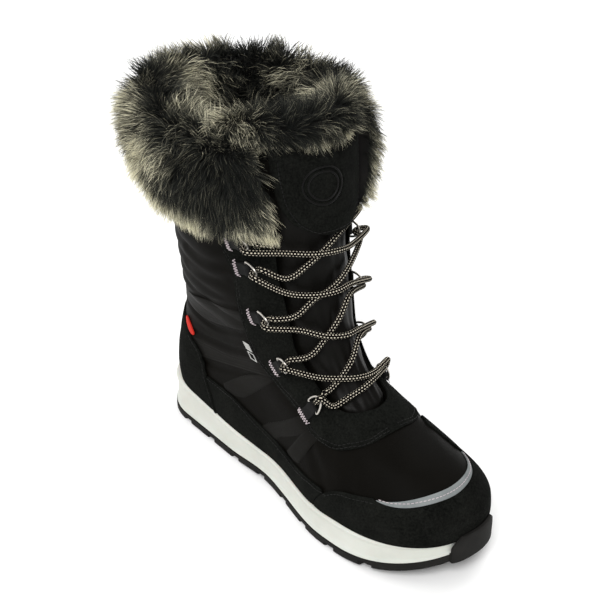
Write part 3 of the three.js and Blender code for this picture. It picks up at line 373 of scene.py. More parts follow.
    def surface(self, turn: Array, level: Array) -> Array:
        """Points on the last's own surface.

        Args:
            turn: Places round the boot.
            level: Heights from the feather line to the collar.

        Returns:
            Points in the last's frame.
        """
        values = np.broadcast_to(level, turn.shape)
        section = {
            name: monotone(self.levels, column, values)
            for name, column in zip(SECTION_NAMES.split(), self.columns)
        }
        along, side = self.along(turn)
        sag = self.seat_sag * self.sag(along) * np.clip(1 - values / self.sag_level, 0, 1)
        x = section["back"] + (section["front"] - section["back"]) * along
        z = section["back_height"] + (section["front_height"] - section["back_height"]) * along - sag
        return np.stack([x, self.sideways(section, along, side), z], axis=-1)

    def normal(self, turn: Array, level: Array) -> Array:
        """The way out of the surface, level at the feather line and the collar.

        Args:
            turn: Places round the boot.
            level: Heights from the feather line to the collar.

        Returns:
            Unit vectors that point out.
        """
        probe = 0.003
        values = np.broadcast_to(level, turn.shape)
        low, high = np.maximum(values - probe, 0), np.minimum(values + probe, 1)
        around = self.surface(turn + probe, values) - self.surface(turn - probe, values)
        up = self.surface(turn, high) - self.surface(turn, low)
        way = np.cross(around, up)
        flat = (values <= 0) | (values >= 1)
        way[..., 2] = np.where(flat, 0.0, way[..., 2])
        return way / np.linalg.norm(way, axis=-1, keepdims=True)

    def at(self, turn: Array, level: Array, out: Array | float) -> Array:
        """Points at a distance from the surface, in the last's frame in millimetres.

        Args:
            turn: Places round the boot.
            level: Heights from the feather line to the collar.
            out: Distance from the last's surface.

        Returns:
            Points in the last's frame.
        """
        turn = np.asarray(turn, float)
        level = np.broadcast_to(np.asarray(level, float), turn.shape)
        away = np.broadcast_to(np.asarray(out, float), turn.shape)[..., None]
        return self.surface(turn, level) + self.normal(turn, level) * away

    def quilt(self, turn: Array, level: Array) -> Array:
        """Height of the soft channels across the back of the shaft.

        Args:
            turn: Places round the boot.
            level: Heights from the feather line to the collar.

        Returns:
            One height for each place.
        """
        phase = np.clip((level - self.quilt_low) / (self.quilt_high - self.quilt_low), 0, 1)
        along, _ = self.along(turn)
        channels = np.abs(np.sin(np.pi * phase * self.quilt_channels))
        return self.quilt_rise * channels * np.clip(1.5 - 2 * along, 0, 1)

    def to_row(self, points: Array) -> Array:
        """Points of the last's frame in metres in the row's frame."""
        return (np.asarray(points, float) + self.shift) * MM


LAST = Last()

# Meshes


def make_mesh(name: str, points: Array, faces: Sequence[Sequence[int]], angle: float = 40.0) -> Object:
    """Object from points in metres and faces, shaded smooth up to an angle.

    Args:
        name: Name of the object.
        points: Corners in metres.
        faces: Corner numbers of each face.
        angle: Edges sharper than this stay sharp.

    Returns:
        The object.
    """
    mesh = bpy.data.meshes.new(name)
    mesh.from_pydata(np.asarray(points, float).tolist(), [], [list(map(int, f)) for f in faces])
    mesh.validate()
    mesh.polygons.foreach_set("use_smooth", np.ones(len(mesh.polygons), bool))
    mesh.update()
    mesh.set_sharp_from_angle(angle=math.radians(angle))
    obj = bpy.data.objects.new(name, mesh)
    bpy.context.scene.collection.objects.link(obj)
    return obj


def lattice_faces(rows: int, columns: int, wrap: bool = False) -> Array:
    """Quads of a lattice, whose columns may close into rings.

    Args:
        rows: Rows of corners.
        columns: Corners in a row.
        wrap: Whether a row's end joins its start.

    Returns:
        Corner numbers of each quad.
    """
    ids = np.arange(rows * columns).reshape(rows, columns)
    if wrap:
        ids = np.hstack([ids, ids[:, :1]])
    return np.stack([ids[:-1, :-1], ids[:-1, 1:], ids[1:, 1:], ids[1:, :-1]], axis=-1).reshape(-1, 4)


def rings_mesh(rings: Array, cap: bool = True) -> Solid:
    """Rings of points joined into a tube, with its ends closed by fans.

    Args:
        rings: Rings of points, all of one length.
        cap: Whether the ends are closed.

    Returns:
        The points and the faces.
    """
    rows, columns, _ = rings.shape
    points = rings.reshape(-1, 3)
    faces = lattice_faces(rows, columns, wrap=True).tolist()
    if cap:
        middle = len(points)
        points = np.vstack([points, rings[0].mean(0), rings[-1].mean(0)])
        for i in range(columns):
            after = (i + 1) % columns
            faces.append([after, i, middle])
            last = (rows - 1) * columns
            faces.append([last + i, last + after, middle + 1])
    return points, faces


def tube(path: Array, radius: float, sides: int, closed: bool = False) -> tuple[Array, Array]:
    """Rings of a round tube along a path that doesn't twist.

    Args:
        path: Points of the centreline.
        radius: Radius of the tube.
        sides: Corners of a section.
        closed: Whether the path is a loop.

    Returns:
        The rings, and the way from the centre of each of their points.
    """
    if closed:
        heading = np.roll(path, -1, axis=0) - np.roll(path, 1, axis=0)
    else:
        heading = np.gradient(path, axis=0)
    heading /= np.linalg.norm(heading, axis=1, keepdims=True)
    start = np.cross(heading[0], [0.31, 0.77, 0.55])
    normals = [start / np.linalg.norm(start)]
    for way in heading[1:]:
        kept = normals[-1] - way * normals[-1].dot(way)
        normals.append(kept / np.linalg.norm(kept))
    across = np.array(normals)
    if closed:
        kept = across[-1] - heading[0] * across[-1].dot(heading[0])
        binormal = np.cross(heading[0], across[0])
        slip = math.atan2(kept.dot(binormal), kept.dot(across[0]))
        turns = -slip * np.arange(len(path)) / len(path)
    else:
        turns = np.zeros(len(path))
    second = np.cross(heading, across)
    angle = turns[:, None] + 2 * np.pi * np.arange(sides) / sides
    ways = across[:, None] * np.cos(angle)[..., None] + second[:, None] * np.sin(angle)[..., None]
    return path[:, None] + ways * radius, ways


def trim(params: Array, keep: Array) -> Solid:
    """Cuts a lattice along the line where a field is 0.

    Args:
        params: Rows and columns of numbers that go with each corner.
        keep: The field at each corner, above 0 on what stays.

    Returns:
        The numbers of the corners that are left, and the faces between them.
    """
    rows, columns = keep.shape
    quads = lattice_faces(rows, columns)
    flat, value = params.reshape(rows * columns, -1), keep.ravel()
    inside = value[quads] > 0
    faces = quads[inside.all(1)].tolist()
    extra: list[Array] = []
    known: dict[tuple[int, int], int] = {}
    for quad in quads[inside.any(1) & ~inside.all(1)].tolist():
        polygon = []
        for a, b in zip(quad, quad[1:] + quad[:1]):
            if value[a] > 0:
                polygon.append(a)
            if (value[a] > 0) != (value[b] > 0):
                key = (min(a, b), max(a, b))
                if key not in known:
                    share = np.clip(value[key[0]] / (value[key[0]] - value[key[1]]), 0.02, 0.98)
                    known[key] = len(flat) + len(extra)
                    extra.append(flat[key[0]] + (flat[key[1]] - flat[key[0]]) * share)
                polygon.append(known[key])
        faces.append(polygon)
    corners = np.vstack([flat, *extra]) if extra else flat
    used = np.unique([i for f in faces for i in f])
    place = np.full(len(corners), -1)
    place[used] = np.arange(len(used))
    return corners[used], [[int(place[i]) for i in f] for f in faces]


def thickened(top: Array, bottom: Array, faces: Faces) -> Solid:
    """Closed solid between two sheets with the same faces.

    Args:
        top: Corners of the outer sheet.
        bottom: The same corners on the inner sheet.
        faces: Faces of the outer sheet.

    Returns:
        The points and the faces of the solid.
    """
    count = len(top)
    edges: dict[tuple[int, int], int] = {}
    for f in faces:
        for a, b in zip(f, f[1:] + f[:1]):
            edges[(a, b)] = edges.get((a, b), 0) + 1
    rim = [(a, b) for (a, b) in edges if (b, a) not in edges]
    closed = [*faces, *([i + count for i in reversed(f)] for f in faces)]
    closed += [[b, a, a + count, b + count] for a, b in rim]
    return np.vstack([top, bottom]), closed


def weld(obj: Object, distance: float = 1e-5) -> None:
    """Merges the doubles of a mesh and turns its faces outwards.

    Args:
        obj: The piece.
        distance: How near doubles lie, in metres.
    """
    mesh = obj.data
    work = bmesh.new()
    work.from_mesh(mesh)
    bmesh.ops.remove_doubles(work, verts=work.verts, dist=distance)
    bmesh.ops.recalc_face_normals(work, faces=work.faces)
    work.to_mesh(mesh)
    work.free()
    mesh.update()
    mesh.set_sharp_from_angle(angle=math.radians(40))


def joined(name: str, parts: Sequence[tuple[Array, Sequence[Sequence[int]]]], angle: float = 40.0) -> Object:
    """One object from several lots of points in metres and faces.

    Args:
        name: Name of the object.
        parts: Points in metres and faces of each part.
        angle: Edges sharper than this stay sharp.

    Returns:
        The object.
    """
    points, faces, base = [], [], 0
    for some_points, some_faces in parts:
        points.append(some_points)
        faces += [[i + base for i in f] for f in some_faces]
        base += len(some_points)
    return make_mesh(name, np.vstack(points), faces, angle)


def finished(obj: Object, finish: "Finish", nodes: Sequence[str] = ()) -> Object:
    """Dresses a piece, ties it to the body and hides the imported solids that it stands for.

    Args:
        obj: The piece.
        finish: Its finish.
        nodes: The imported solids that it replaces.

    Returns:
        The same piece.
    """
    if not obj.data.materials:
        obj.data.materials.append(finish.material())
    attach(obj, BODY)
    if nodes:
        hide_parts(*nodes)
    LOG.info("%s: %d faces", obj.name, len(obj.data.polygons))
    return obj


# Finishes


class Nodes:
    """A node tree that is built by hand."""

    def __init__(self, tree: bpy.types.NodeTree) -> None:
        """Keeps the tree."""
        self.tree = tree

    def add(self, kind: str, inputs: Inputs | None = None, **settings: object) -> bpy.types.Node:
        """Adds a node.

        Args:
            kind: Blender's own name of the node.
            inputs: Numbers for its sockets, or the sockets of other nodes that lead to them.
            settings: Properties of the node.

        Returns:
            The node.
        """
        made = self.tree.nodes.new(kind)
        for key, value in settings.items():
            setattr(made, key, value)
        for key, value in (inputs or {}).items():
            if isinstance(value, Socket):
                self.tree.links.new(value, made.inputs[key])
            else:
                made.inputs[key].default_value = value
        return made


class Paint(Nodes):
    """Builds the nodes of one material."""

    def __init__(self, name: str) -> None:
        """Starts a material with its shader.

        Args:
            name: Name of the material.
        """
        self.material = bpy.data.materials.new(name)
        self.material.use_nodes = True
        super().__init__(self.material.node_tree)
        self.shader = self.tree.nodes["Principled BSDF"]

    def place(self) -> Socket:
        """Coordinates of the piece itself."""
        return self.add("ShaderNodeTexCoord").outputs["Object"]

    def attribute(self, name: str) -> Socket:
        """A number that the mesh carries."""
        return self.add("ShaderNodeAttribute", attribute_name=name).outputs["Fac"]

    def noise(self, where: Socket, scale: float, detail: float = 4, rough: float = 0.6) -> Socket:
        """Noise of a size, from 0 to 1."""
        values = {"Vector": where, "Scale": scale, "Detail": detail, "Roughness": rough}
        return self.add("ShaderNodeTexNoise", values).outputs["Fac"]

    def math(self, operation: str, a: object, b: object = 0.0, c: object = 0.0) -> Socket:
        """Result of a sum on sockets or numbers."""
        return self.add("ShaderNodeMath", {0: a, 1: b, 2: c}, operation=operation).outputs[0]

    def range(self, value: Socket, low: float, high: float) -> Socket:
        """A share turned into a number between two others."""
        values = {"Value": value, "To Min": low, "To Max": high}
        return self.add("ShaderNodeMapRange", values).outputs["Result"]

    def lead(self, start: Socket, name: str) -> None:
        """Leads a socket to one of the shader's."""
        self.tree.links.new(start, self.shader.inputs[name])

    def tint(self, factor: Socket, stops: Sequence[tuple[float, Color]]) -> None:
        """Colours the surface.

        Args:
            factor: What the colour follows.
            stops: Places from 0 to 1 and their colours.
        """
        made = self.add("ShaderNodeValToRGB", {"Fac": factor})
        elements = made.color_ramp.elements
        while len(elements) < len(stops):
            elements.new(0.5)
        for element, (place, color) in zip(elements, stops):
            element.position = place
            element.color = (*color, 1)
        self.lead(made.outputs["Color"], "Base Color")

    def bump(self, lots: Sequence[tuple[Socket, float, float]]) -> None:
        """Raises the surface's relief.

        Args:
            lots: Heights, each with a strength and a depth in metres.
        """
        below: Inputs = {}
        for height, strength, distance in lots:
            values = {"Strength": strength, "Distance": distance, "Height": height}
            below = {"Normal": self.add("ShaderNodeBump", values | below).outputs["Normal"]}
        self.lead(below["Normal"], "Normal")

    def set(self, **values: object) -> None:
        """Sets the shader's own sockets."""
        for key, value in values.items():
            self.shader.inputs[key.replace("_", " ")].default_value = value


@dataclass(frozen=True)
class Finish:
    """A finish with its colours; each kind builds its own nodes once."""

    name: str
    dark: Color
    light: Color
    roughness: float = 0.8

    def material(self) -> bpy.types.Material:
        """The material, made the first time it is asked for."""
        known = bpy.data.materials.get(self.name)
        return known or self.build(Paint(self.name)).material

    def build(self, paint: Paint) -> Paint:
        """Adds the nodes of a plain, slightly uneven surface.

        Args:
            paint: The material that is being made.

        Returns:
            The same material.
        """
        where = paint.place()
        paint.tint(paint.noise(where, 60), [(0.3, self.dark), (0.7, self.light)])
        paint.set(Roughness=self.roughness, Specular_IOR_Level=0.12)
        paint.bump([(paint.noise(where, 900, 3), 0.15, 0.0003)])
        return paint


@dataclass(frozen=True)
class Suede(Finish):
    """Suede with a short matt nap that lies in patches."""

    def build(self, paint: Paint) -> Paint:
        """Adds nap, patches and fine grain.

        Args:
            paint: The material that is being made.

        Returns:
            The same material.
        """
        where = paint.place()
        patches = paint.noise(where, 38, 5, 0.65)
        nap = paint.noise(where, 1500, 4, 0.75)
        fuzz = paint.noise(where, 640, 3, 0.8)
        mixed = paint.math("MULTIPLY_ADD", nap, 0.25, paint.math("MULTIPLY", patches, 0.30))
        mixed = paint.math("MULTIPLY_ADD", fuzz, 0.45, mixed)
        paint.tint(mixed, [(0.40, self.dark), (0.64, self.light)])
        paint.set(Roughness=self.roughness, Specular_IOR_Level=0.03)
        paint.bump([(paint.noise(where, 2200, 3, 0.7), 0.35, 0.0003), (patches, 0.12, 0.001)])
        return paint


@dataclass(frozen=True)
class Nylon(Finish):
    """Close-woven nylon over padding, with a faint sheen."""

    threads: float = 3600.0
    gloss: float = 0.026

    def build(self, paint: Paint) -> Paint:
        """Adds the weave, soft unevenness and changes of gloss.

        Args:
            paint: The material that is being made.

        Returns:
            The same material.
        """
        where = paint.place()
        soft = paint.noise(where, 25, 3, 0.5)
        paint.tint(soft, [(0.3, self.dark), (0.75, self.light)])
        weaves = []
        for axis in ("X", "Z"):
            values = {"Vector": where, "Scale": self.threads / (2 * math.pi), "Distortion": 0.6}
            wave = paint.add("ShaderNodeTexWave", values, bands_direction=axis, wave_type="BANDS")
            weaves.append(wave.outputs["Fac"])
        weave = paint.math("ADD", *weaves)
        paint.set(Specular_IOR_Level=self.gloss)
        paint.lead(paint.range(soft, self.roughness - 0.05, self.roughness + 0.09), "Roughness")
        paint.bump([(weave, 0.18, 0.0001), (paint.noise(where, 120, 3, 0.5), 0.16, 0.0008)])
        return paint


@dataclass(frozen=True)
class Foam(Finish):
    """Moulded foam with a faint skin texture and a softly uneven tone."""

    def build(self, paint: Paint) -> Paint:
        """Adds the moulded skin and soft shading of tone.

        Args:
            paint: The material that is being made.

        Returns:
            The same material.
        """
        where = paint.place()
        tone = paint.noise(where, 30, 4, 0.6)
        paint.tint(tone, [(0.25, self.dark), (0.7, self.light)])
        paint.set(Roughness=self.roughness, Specular_IOR_Level=0.35, Subsurface_Weight=0.05)
        skin = paint.noise(where, 1300, 3, 0.6)
        paint.bump([(skin, 0.12, 0.0003), (paint.noise(where, 90, 2), 0.05, 0.001)])
        return paint


@dataclass(frozen=True)
class Rubber(Finish):
    """Moulded rubber, matt and finely pebbled."""

    def build(self, paint: Paint) -> Paint:
        """Adds pebbling and dusty patches.

        Args:
            paint: The material that is being made.

        Returns:
            The same material.
        """
        where = paint.place()
        patches = paint.noise(where, 45, 5, 0.65)
        paint.tint(patches, [(0.35, self.dark), (0.75, self.light)])
        paint.set(Roughness=self.roughness, Specular_IOR_Level=0.12)
        paint.bump([(paint.noise(where, 1700, 2, 0.5), 0.25, 0.0003)])
        return paint


@dataclass(frozen=True)
class Metal(Finish):
    """Bright wire, slightly worn."""

    def build(self, paint: Paint) -> Paint:
        """Adds fine scratches to the gloss.

        Args:
            paint: The material that is being made.

        Returns:
            The same material.
        """
        where = paint.place()
        wear = paint.noise(where, 700, 4, 0.7)
        paint.tint(wear, [(0.3, self.dark), (0.6, self.light)])
        paint.set(Metallic=1.0)
        paint.lead(paint.range(wear, self.roughness - 0.08, self.roughness + 0.12), "Roughness")
        paint.bump([(wear, 0.05, 0.0001)])
        return paint


@dataclass(frozen=True)
class Braid(Finish):
    """Round woven cord with pale flecks in staggered rows, on a map in millimetres and turns."""

    pitch: float = 2.1
    rows: int = 6

    def build(self, paint: Paint) -> Paint:
        """Adds the flecks and the plaited relief.

        Args:
            paint: The material that is being made.

        Returns:
            The same material.
        """
        split = paint.add("ShaderNodeSeparateXYZ", {0: paint.add("ShaderNodeTexCoord").outputs["UV"]})
        across = paint.math("MULTIPLY", split.outputs["Y"], self.rows)
        row = paint.math("FLOOR", across)
        odd = paint.math("MULTIPLY", paint.math("MODULO", row, 2), 0.5)
        along = paint.math("ADD", paint.math("DIVIDE", split.outputs["X"], self.pitch), odd)
        u = paint.math("ABSOLUTE", paint.math("SUBTRACT", paint.math("FRACT", along), 0.5))
        v = paint.math("ABSOLUTE", paint.math("SUBTRACT", paint.math("FRACT", across), 0.5))
        slanted = paint.math("ADD", u, paint.math("MULTIPLY", v, 0.25))
        short, narrow = paint.math("LESS_THAN", slanted, 0.25), paint.math("LESS_THAN", v, 0.21)
        fleck = paint.math("MULTIPLY", short, narrow)
        tone = paint.noise(paint.place(), 700, 2)
        amount = paint.math("MULTIPLY", fleck, paint.range(tone, 0.75, 1.0))
        paint.tint(amount, [(0.0, self.dark), (0.9, self.light)])
        paint.set(Roughness=self.roughness, Specular_IOR_Level=0.03)
        edge = paint.math("MAXIMUM", paint.math("MULTIPLY", u, 1.6), paint.math("MULTIPLY", v, 1.6))
        cushion = paint.math("SUBTRACT", 1.0, edge)
        paint.bump([(cushion, 0.6, 0.0004)])
        return paint


@dataclass(frozen=True)
class Pile(Finish):
    """Long fur: dark at the root, with tips that are pale in some locks and patches and dark in others."""

    middle: Color = (0.040, 0.041, 0.034)
    grey: Color = (0.195, 0.186, 0.138)
    strand_share: float = 0.66

    def build(self, paint: Paint) -> Paint:
        """Adds the run of colour from root to tip.

        Args:
            paint: The material that is being made.

        Returns:
            The same material.
        """
        ground = paint.math("MAXIMUM", paint.attribute("patch"), 0.0)
        strands = paint.math("MULTIPLY", paint.attribute("tone"), self.strand_share)
        pale = paint.math("MULTIPLY", paint.math("ADD", ground, strands), paint.attribute("tip"))
        stops = [(0.10, self.dark), (0.42, self.middle), (0.66, self.grey), (0.90, self.light)]
        paint.tint(pale, stops)
        paint.set(Roughness=self.roughness, Specular_IOR_Level=0.12)
        return paint


SUEDE = Suede("black_suede", (0.0018, 0.0020, 0.0017), (0.0115, 0.0122, 0.0105), 0.95)
NYLON = Nylon("padded_nylon", (0.0028, 0.0025, 0.0019), (0.0043, 0.0038, 0.0030), 0.52)
FILM = Nylon("smooth_band", (0.0060, 0.0056, 0.0048), (0.0082, 0.0077, 0.0067), 0.44, 2400.0)
SATIN = Nylon("satin_nylon", (0.0026, 0.0024, 0.0019), (0.0042, 0.0038, 0.0030), 0.40, 3600.0, 0.075)
EMBLEM = Nylon("raised_film", (0.003, 0.003, 0.0028), (0.005, 0.005, 0.0045), 0.42, 2400.0, 0.10)
LINING = Suede("lining", (0.010, 0.010, 0.010), (0.022, 0.021, 0.020), 0.95)
FOAM = Foam("white_foam", (0.50, 0.505, 0.455), (0.60, 0.60, 0.55), 0.6)
RUBBER = Rubber("dark_rubber", (0.0065, 0.0062, 0.0055), (0.0150, 0.0142, 0.0128), 0.75)
FELT = Suede("felt_footbed", (0.015, 0.015, 0.015), (0.03, 0.03, 0.03), 0.95)
REFLECTOR = Finish("reflective_grey", (0.15, 0.165, 0.165), (0.21, 0.225, 0.225), 0.45)
TAG = Finish("red_tape", (0.40, 0.016, 0.010), (0.58, 0.028, 0.014), 0.7)
WEBBING = Finish("black_webbing", (0.006, 0.006, 0.006), (0.012, 0.012, 0.0115), 0.85)
THREAD = Finish("black_thread", (0.006, 0.006, 0.006), (0.015, 0.015, 0.014), 0.7)
PALE_THREAD = Finish("pale_thread", (0.42, 0.36, 0.38), (0.62, 0.55, 0.56), 0.7)
PRINT = Finish("pale_print", (0.42, 0.42, 0.40), (0.55, 0.55, 0.53), 0.5)
METAL = Metal("bright_wire", (0.40, 0.375, 0.335), (0.56, 0.53, 0.485), 0.28)
BRAID = Braid("flecked_cord", (0.0035, 0.0032, 0.003), (0.56, 0.51, 0.41), 0.85)
PILE = Pile("long_fur", (0.009, 0.010, 0.009), (0.74, 0.70, 0.51), 0.85)
UNDERFUR = Finish("fur_backing", (0.006, 0.006, 0.006), (0.014, 0.013, 0.012), 1.0)

# Node trees for what repeats

ROD_SIDES = 6


class Tree(Nodes):
    """A geometry tree with named inputs, whose result becomes a plain mesh."""

    def __init__(self, name: str, kinds: dict[str, str]) -> None:
        """Starts a tree.

        Args:
            name: Name of the tree.
            kinds: Names and kinds of its inputs, beside the geometry.
        """
        super().__init__(bpy.data.node_groups.new(name, "GeometryNodeTree"))
        face = self.tree.interface
        face.new_socket(name="Geometry", in_out="INPUT", socket_type="NodeSocketGeometry")
        face.new_socket(name="Geometry", in_out="OUTPUT", socket_type="NodeSocketGeometry")
        self.keys: dict[str, str] = {}
        for key, kind in {**kinds, "Material": "Material"}.items():
            made = face.new_socket(name=key, in_out="INPUT", socket_type=f"NodeSocket{kind}")
            self.keys[key] = made.identifier
        self.start = self.add("NodeGroupInput").outputs

    def finish(self, geometry: Socket) -> None:
        """Realizes the instances, sets the material and ends the tree.

        Args:
            geometry: What the tree has made.
        """
        real = self.add("GeometryNodeRealizeInstances", {0: geometry}).outputs[0]
        paint = self.add("GeometryNodeSetMaterial", {"Geometry": real, "Material": self.start["Material"]})
        self.add("NodeGroupOutput", {0: paint.outputs[0]})

    def run(self, base: Object, name: str, values: dict[str, object]) -> Object:
        """Runs the tree on an object and keeps the result as a new plain mesh.

        Args:
            base: The object that the tree reads, which is removed afterwards.
            name: Name of the result.
            values: The tree's inputs by name.

        Returns:
            The new object, in place and with no modifier.
        """
        modifier = base.modifiers.new(name, "NODES")
        modifier.node_group = self.tree
        for key, value in values.items():
            modifier[self.keys[key]] = value
        base.update_tag()
        bpy.context.view_layer.update()
        depsgraph = bpy.context.evaluated_depsgraph_get()
        mesh = bpy.data.meshes.new_from_object(base.evaluated_get(depsgraph))
        base.modifiers.remove(modifier)
        bpy.data.objects.remove(base)
        mesh.name = name
        made = bpy.data.objects.new(name, mesh)
        bpy.context.scene.collection.objects.link(made)
        return made


def stitch_tree() -> Tree:
    """Tree that lays a small rod at even steps on a path of edges.

    Returns:
        The tree.
    """
    tree = Tree("stitches", {"Pitch": "Float", "Length": "Float", "Radius": "Float"})
    start, add = tree.start, tree.add
    curve = add("GeometryNodeMeshToCurve", {0: start["Geometry"]}).outputs[0]
    paces = {"Curve": curve, "Length": start["Pitch"]}
    steps = add("GeometryNodeResampleCurve", paces, mode="LENGTH").outputs[0]
    tangent = add("GeometryNodeInputTangent").outputs[0]
    align = add("FunctionNodeAlignRotationToVector", {"Vector": tangent}, axis="Z").outputs[0]
    sizes = {"Vertices": ROD_SIDES, "Radius": start["Radius"], "Depth": start["Length"]}
    rod = add("GeometryNodeMeshCylinder", sizes, fill_type="TRIANGLE_FAN").outputs["Mesh"]
    laid = {"Points": steps, "Instance": rod, "Rotation": align}
    tree.finish(add("GeometryNodeInstanceOnPoints", laid).outputs[0])
    return tree


@dataclass(frozen=True)
class PileRule:
    """How locks of fur vary: sizes of the noises in turns a metre, and how far each changes a lock."""

    curl: float = 85.0
    stray: float = 0.22
    spin: float = 0.9
    cloud: float = 34.0
    cloud_low: float = 0.36
    cloud_high: float = 0.64
    paleness: float = 0.42

    def tree(self) -> Tree:
        """Tree that plants locks of fur on a base, combed as its vectors say.

        Returns:
            The tree, whose base carries comb, pale and long on its points.
        """
        numbers = ("Spacing", "Density", "Ruffle", "Patch Size", "Smallest", "Largest")
        kinds = dict.fromkeys(numbers, "Float") | {"Locks": "Collection", "Count": "Int", "Seed": "Int"}
        tree = Tree("pile", kinds)
        start, add, seed = tree.start, tree.add, tree.start["Seed"]

        def carried(name: str, kind: str = "FLOAT") -> Socket:
            """What the base carries under a name."""
            return add("GeometryNodeInputNamedAttribute", {"Name": name}, data_type=kind).outputs["Attribute"]

        def summed(first: Socket, second: object, operation: str = "ADD") -> Socket:
            """Sum of two vectors."""
            return add("ShaderNodeVectorMath", {0: first, 1: second}, operation=operation).outputs[0]

        def drawn(output: int, kind: str, values: Inputs) -> Socket:
            """Random value of each lock."""
            return add("FunctionNodeRandomValue", {**values, "Seed": seed}, data_type=kind).outputs[output]

        spread = {"Mesh": start["Geometry"], "Distance Min": start["Spacing"], "Seed": seed}
        spread |= {"Density Max": start["Density"]}
        scatter = add("GeometryNodeDistributePointsOnFaces", spread, distribute_method="POISSON")
        swirl = add("ShaderNodeTexNoise", {"Detail": 2, "Scale": start["Patch Size"]}).outputs["Color"]
        curl = add("ShaderNodeTexNoise", {"Detail": 0, "Scale": self.curl}).outputs["Color"]
        centred = summed(summed(swirl, curl), (1.0, 1.0, 1.0), "SUBTRACT")
        ruffle = {0: centred, "Scale": start["Ruffle"]}
        ruffled = add("ShaderNodeVectorMath", ruffle, operation="SCALE").outputs[0]
        stray = drawn(0, "FLOAT_VECTOR", {0: (-self.stray,) * 3, 1: (self.stray,) * 3})
        ways = summed(summed(carried("comb", "FLOAT_VECTOR"), ruffled), stray)
        stand = add("FunctionNodeAlignRotationToVector", {"Vector": ways}, axis="Z").outputs[0]
        down = {"Rotation": stand, "Vector": (0, 0, -1)}
        droop = add("FunctionNodeAlignRotationToVector", down, axis="X", pivot_axis="Z").outputs[0]
        spin = add("ShaderNodeCombineXYZ", {"Z": drawn(1, "FLOAT", {2: -self.spin, 3: self.spin})}).outputs[0]
        spun = add("FunctionNodeEulerToRotation", {0: spin}).outputs[0]
        turned = add("FunctionNodeRotateRotation", {0: droop, 1: spun}, rotation_space="LOCAL").outputs[0]
        kept = {"Collection": start["Locks"], "Separate Children": True, "Reset Children": True}
        locks = add("GeometryNodeCollectionInfo", kept, transform_space="ORIGINAL").outputs[0]
        pick = drawn(2, "INT", {4: 0, 5: start["Count"]})
        size = drawn(1, "FLOAT", {2: start["Smallest"], 3: start["Largest"]})
        scale = add("ShaderNodeMath", {0: size, 1: carried("long")}, operation="MULTIPLY").outputs[0]
        cloud = add("ShaderNodeTexNoise", {"Detail": 1, "Scale": self.cloud}).outputs["Fac"]
        span = {"Value": cloud, "From Min": self.cloud_low, "From Max": self.cloud_high}
        span |= {"To Min": -self.paleness, "To Max": self.paleness}
        change = add("ShaderNodeMapRange", span).outputs["Result"]
        patch = add("ShaderNodeMath", {0: carried("pale"), 1: change}, operation="ADD").outputs[0]
        mark = {"Geometry": scatter.outputs["Points"], "Name": "patch", "Value": patch}
        marked = add("GeometryNodeStoreNamedAttribute", mark, data_type="FLOAT", domain="POINT").outputs[0]
        planted = {"Points": marked, "Instance": locks, "Pick Instance": True, "Instance Index": pick}
        planted |= {"Rotation": turned, "Scale": scale}
        tree.finish(add("GeometryNodeInstanceOnPoints", planted).outputs[0])
        return tree


def edge_path(name: str, paths: Sequence[Array]) -> Object:
    """Object of bare edges along paths in metres.

    Args:
        name: Name of the object.
        paths: Points of each path in metres.

    Returns:
        The object.
    """
    mesh = bpy.data.meshes.new(name)
    points, edges, base = [], [], 0
    for path in paths:
        points += np.asarray(path, float).tolist()
        edges += [(base + i, base + i + 1) for i in range(len(path) - 1)]
        base += len(path)
    mesh.from_pydata(points, edges, [])
    obj = bpy.data.objects.new(name, mesh)
    bpy.context.scene.collection.objects.link(obj)
    return obj


@dataclass
class Stitching:
    """Rows of stitches along paths."""

    tree: Tree = field(default_factory=stitch_tree)

    def sew(
        self,
        name: str,
        paths: Sequence[Array],
        finish: Finish,
        pitch: float = 3.0,
        length: float = 2.3,
        radius: float = 0.28,
    ) -> Object:
        """Sews stitches on paths of the last's frame, in millimetres.

        Args:
            name: Name of the piece.
            paths: Points of each row.
            finish: Finish of the thread.
            pitch: Length from stitch to stitch.
            length: Length of a stitch.
            radius: Radius of the thread.

        Returns:
            The piece.
        """
        base = edge_path(name + "_path", [LAST.to_row(p) for p in paths])
        values = {"Pitch": pitch * MM, "Length": length * MM, "Radius": radius * MM}
        values["Material"] = finish.material()
        made = self.tree.run(base, name, values)
        made.data.polygons.foreach_set("use_smooth", np.ones(len(made.data.polygons), bool))
        return finished(made, finish)


# Panels on the last


@dataclass
class Panel:
    """A sheet that lies on the last and ends at its outline."""

    name: str
    inside: Callable[[Array], Array]
    turns: tuple[float, float]
    levels: tuple[float, float]
    columns: int
    rows: int
    base: float
    thickness: float
    relief: Callable[[Array, Array, Array, Array], Array] | None = None
    edge_drop: float = 0.35
    quilted: bool = True

    def mesh(self) -> Solid:
        """Closed solid of the panel in the last's frame.

        Returns:
            The points and the faces.
        """
        spans = np.linspace(*self.turns, self.columns + 1), np.linspace(*self.levels, self.rows + 1)
        turn, level = np.meshgrid(*spans)
        keep = self.inside(LAST.at(turn.ravel(), level.ravel(), self.base)).reshape(turn.shape)
        params, faces = trim(np.stack([turn, level], axis=-1), keep)
        turns, levels = params.T
        low = self.base + (LAST.quilt(turns, levels) if self.quilted else 0)
        bottom = LAST.at(turns, levels, low)
        depth = np.maximum(self.inside(bottom), 0)
        high = low + self.thickness - self.edge_drop * np.exp(-depth / 0.6)
        if self.relief:
            high = high + self.relief(turns, levels, bottom, depth)
        return thickened(LAST.at(turns, levels, high), bottom, faces)

    def make(self, finish: Finish, nodes: Sequence[str] = ()) -> Object:
        """Builds the panel and dresses it.

        Args:
            finish: Finish of the piece.
            nodes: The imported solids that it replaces.

        Returns:
            The piece.
        """
        points, faces = self.mesh()
        obj = make_mesh(self.name, LAST.to_row(points), faces, 50)
        if self.turns[1] - self.turns[0] >= 1:
            weld(obj)
        return finished(obj, finish, nodes)


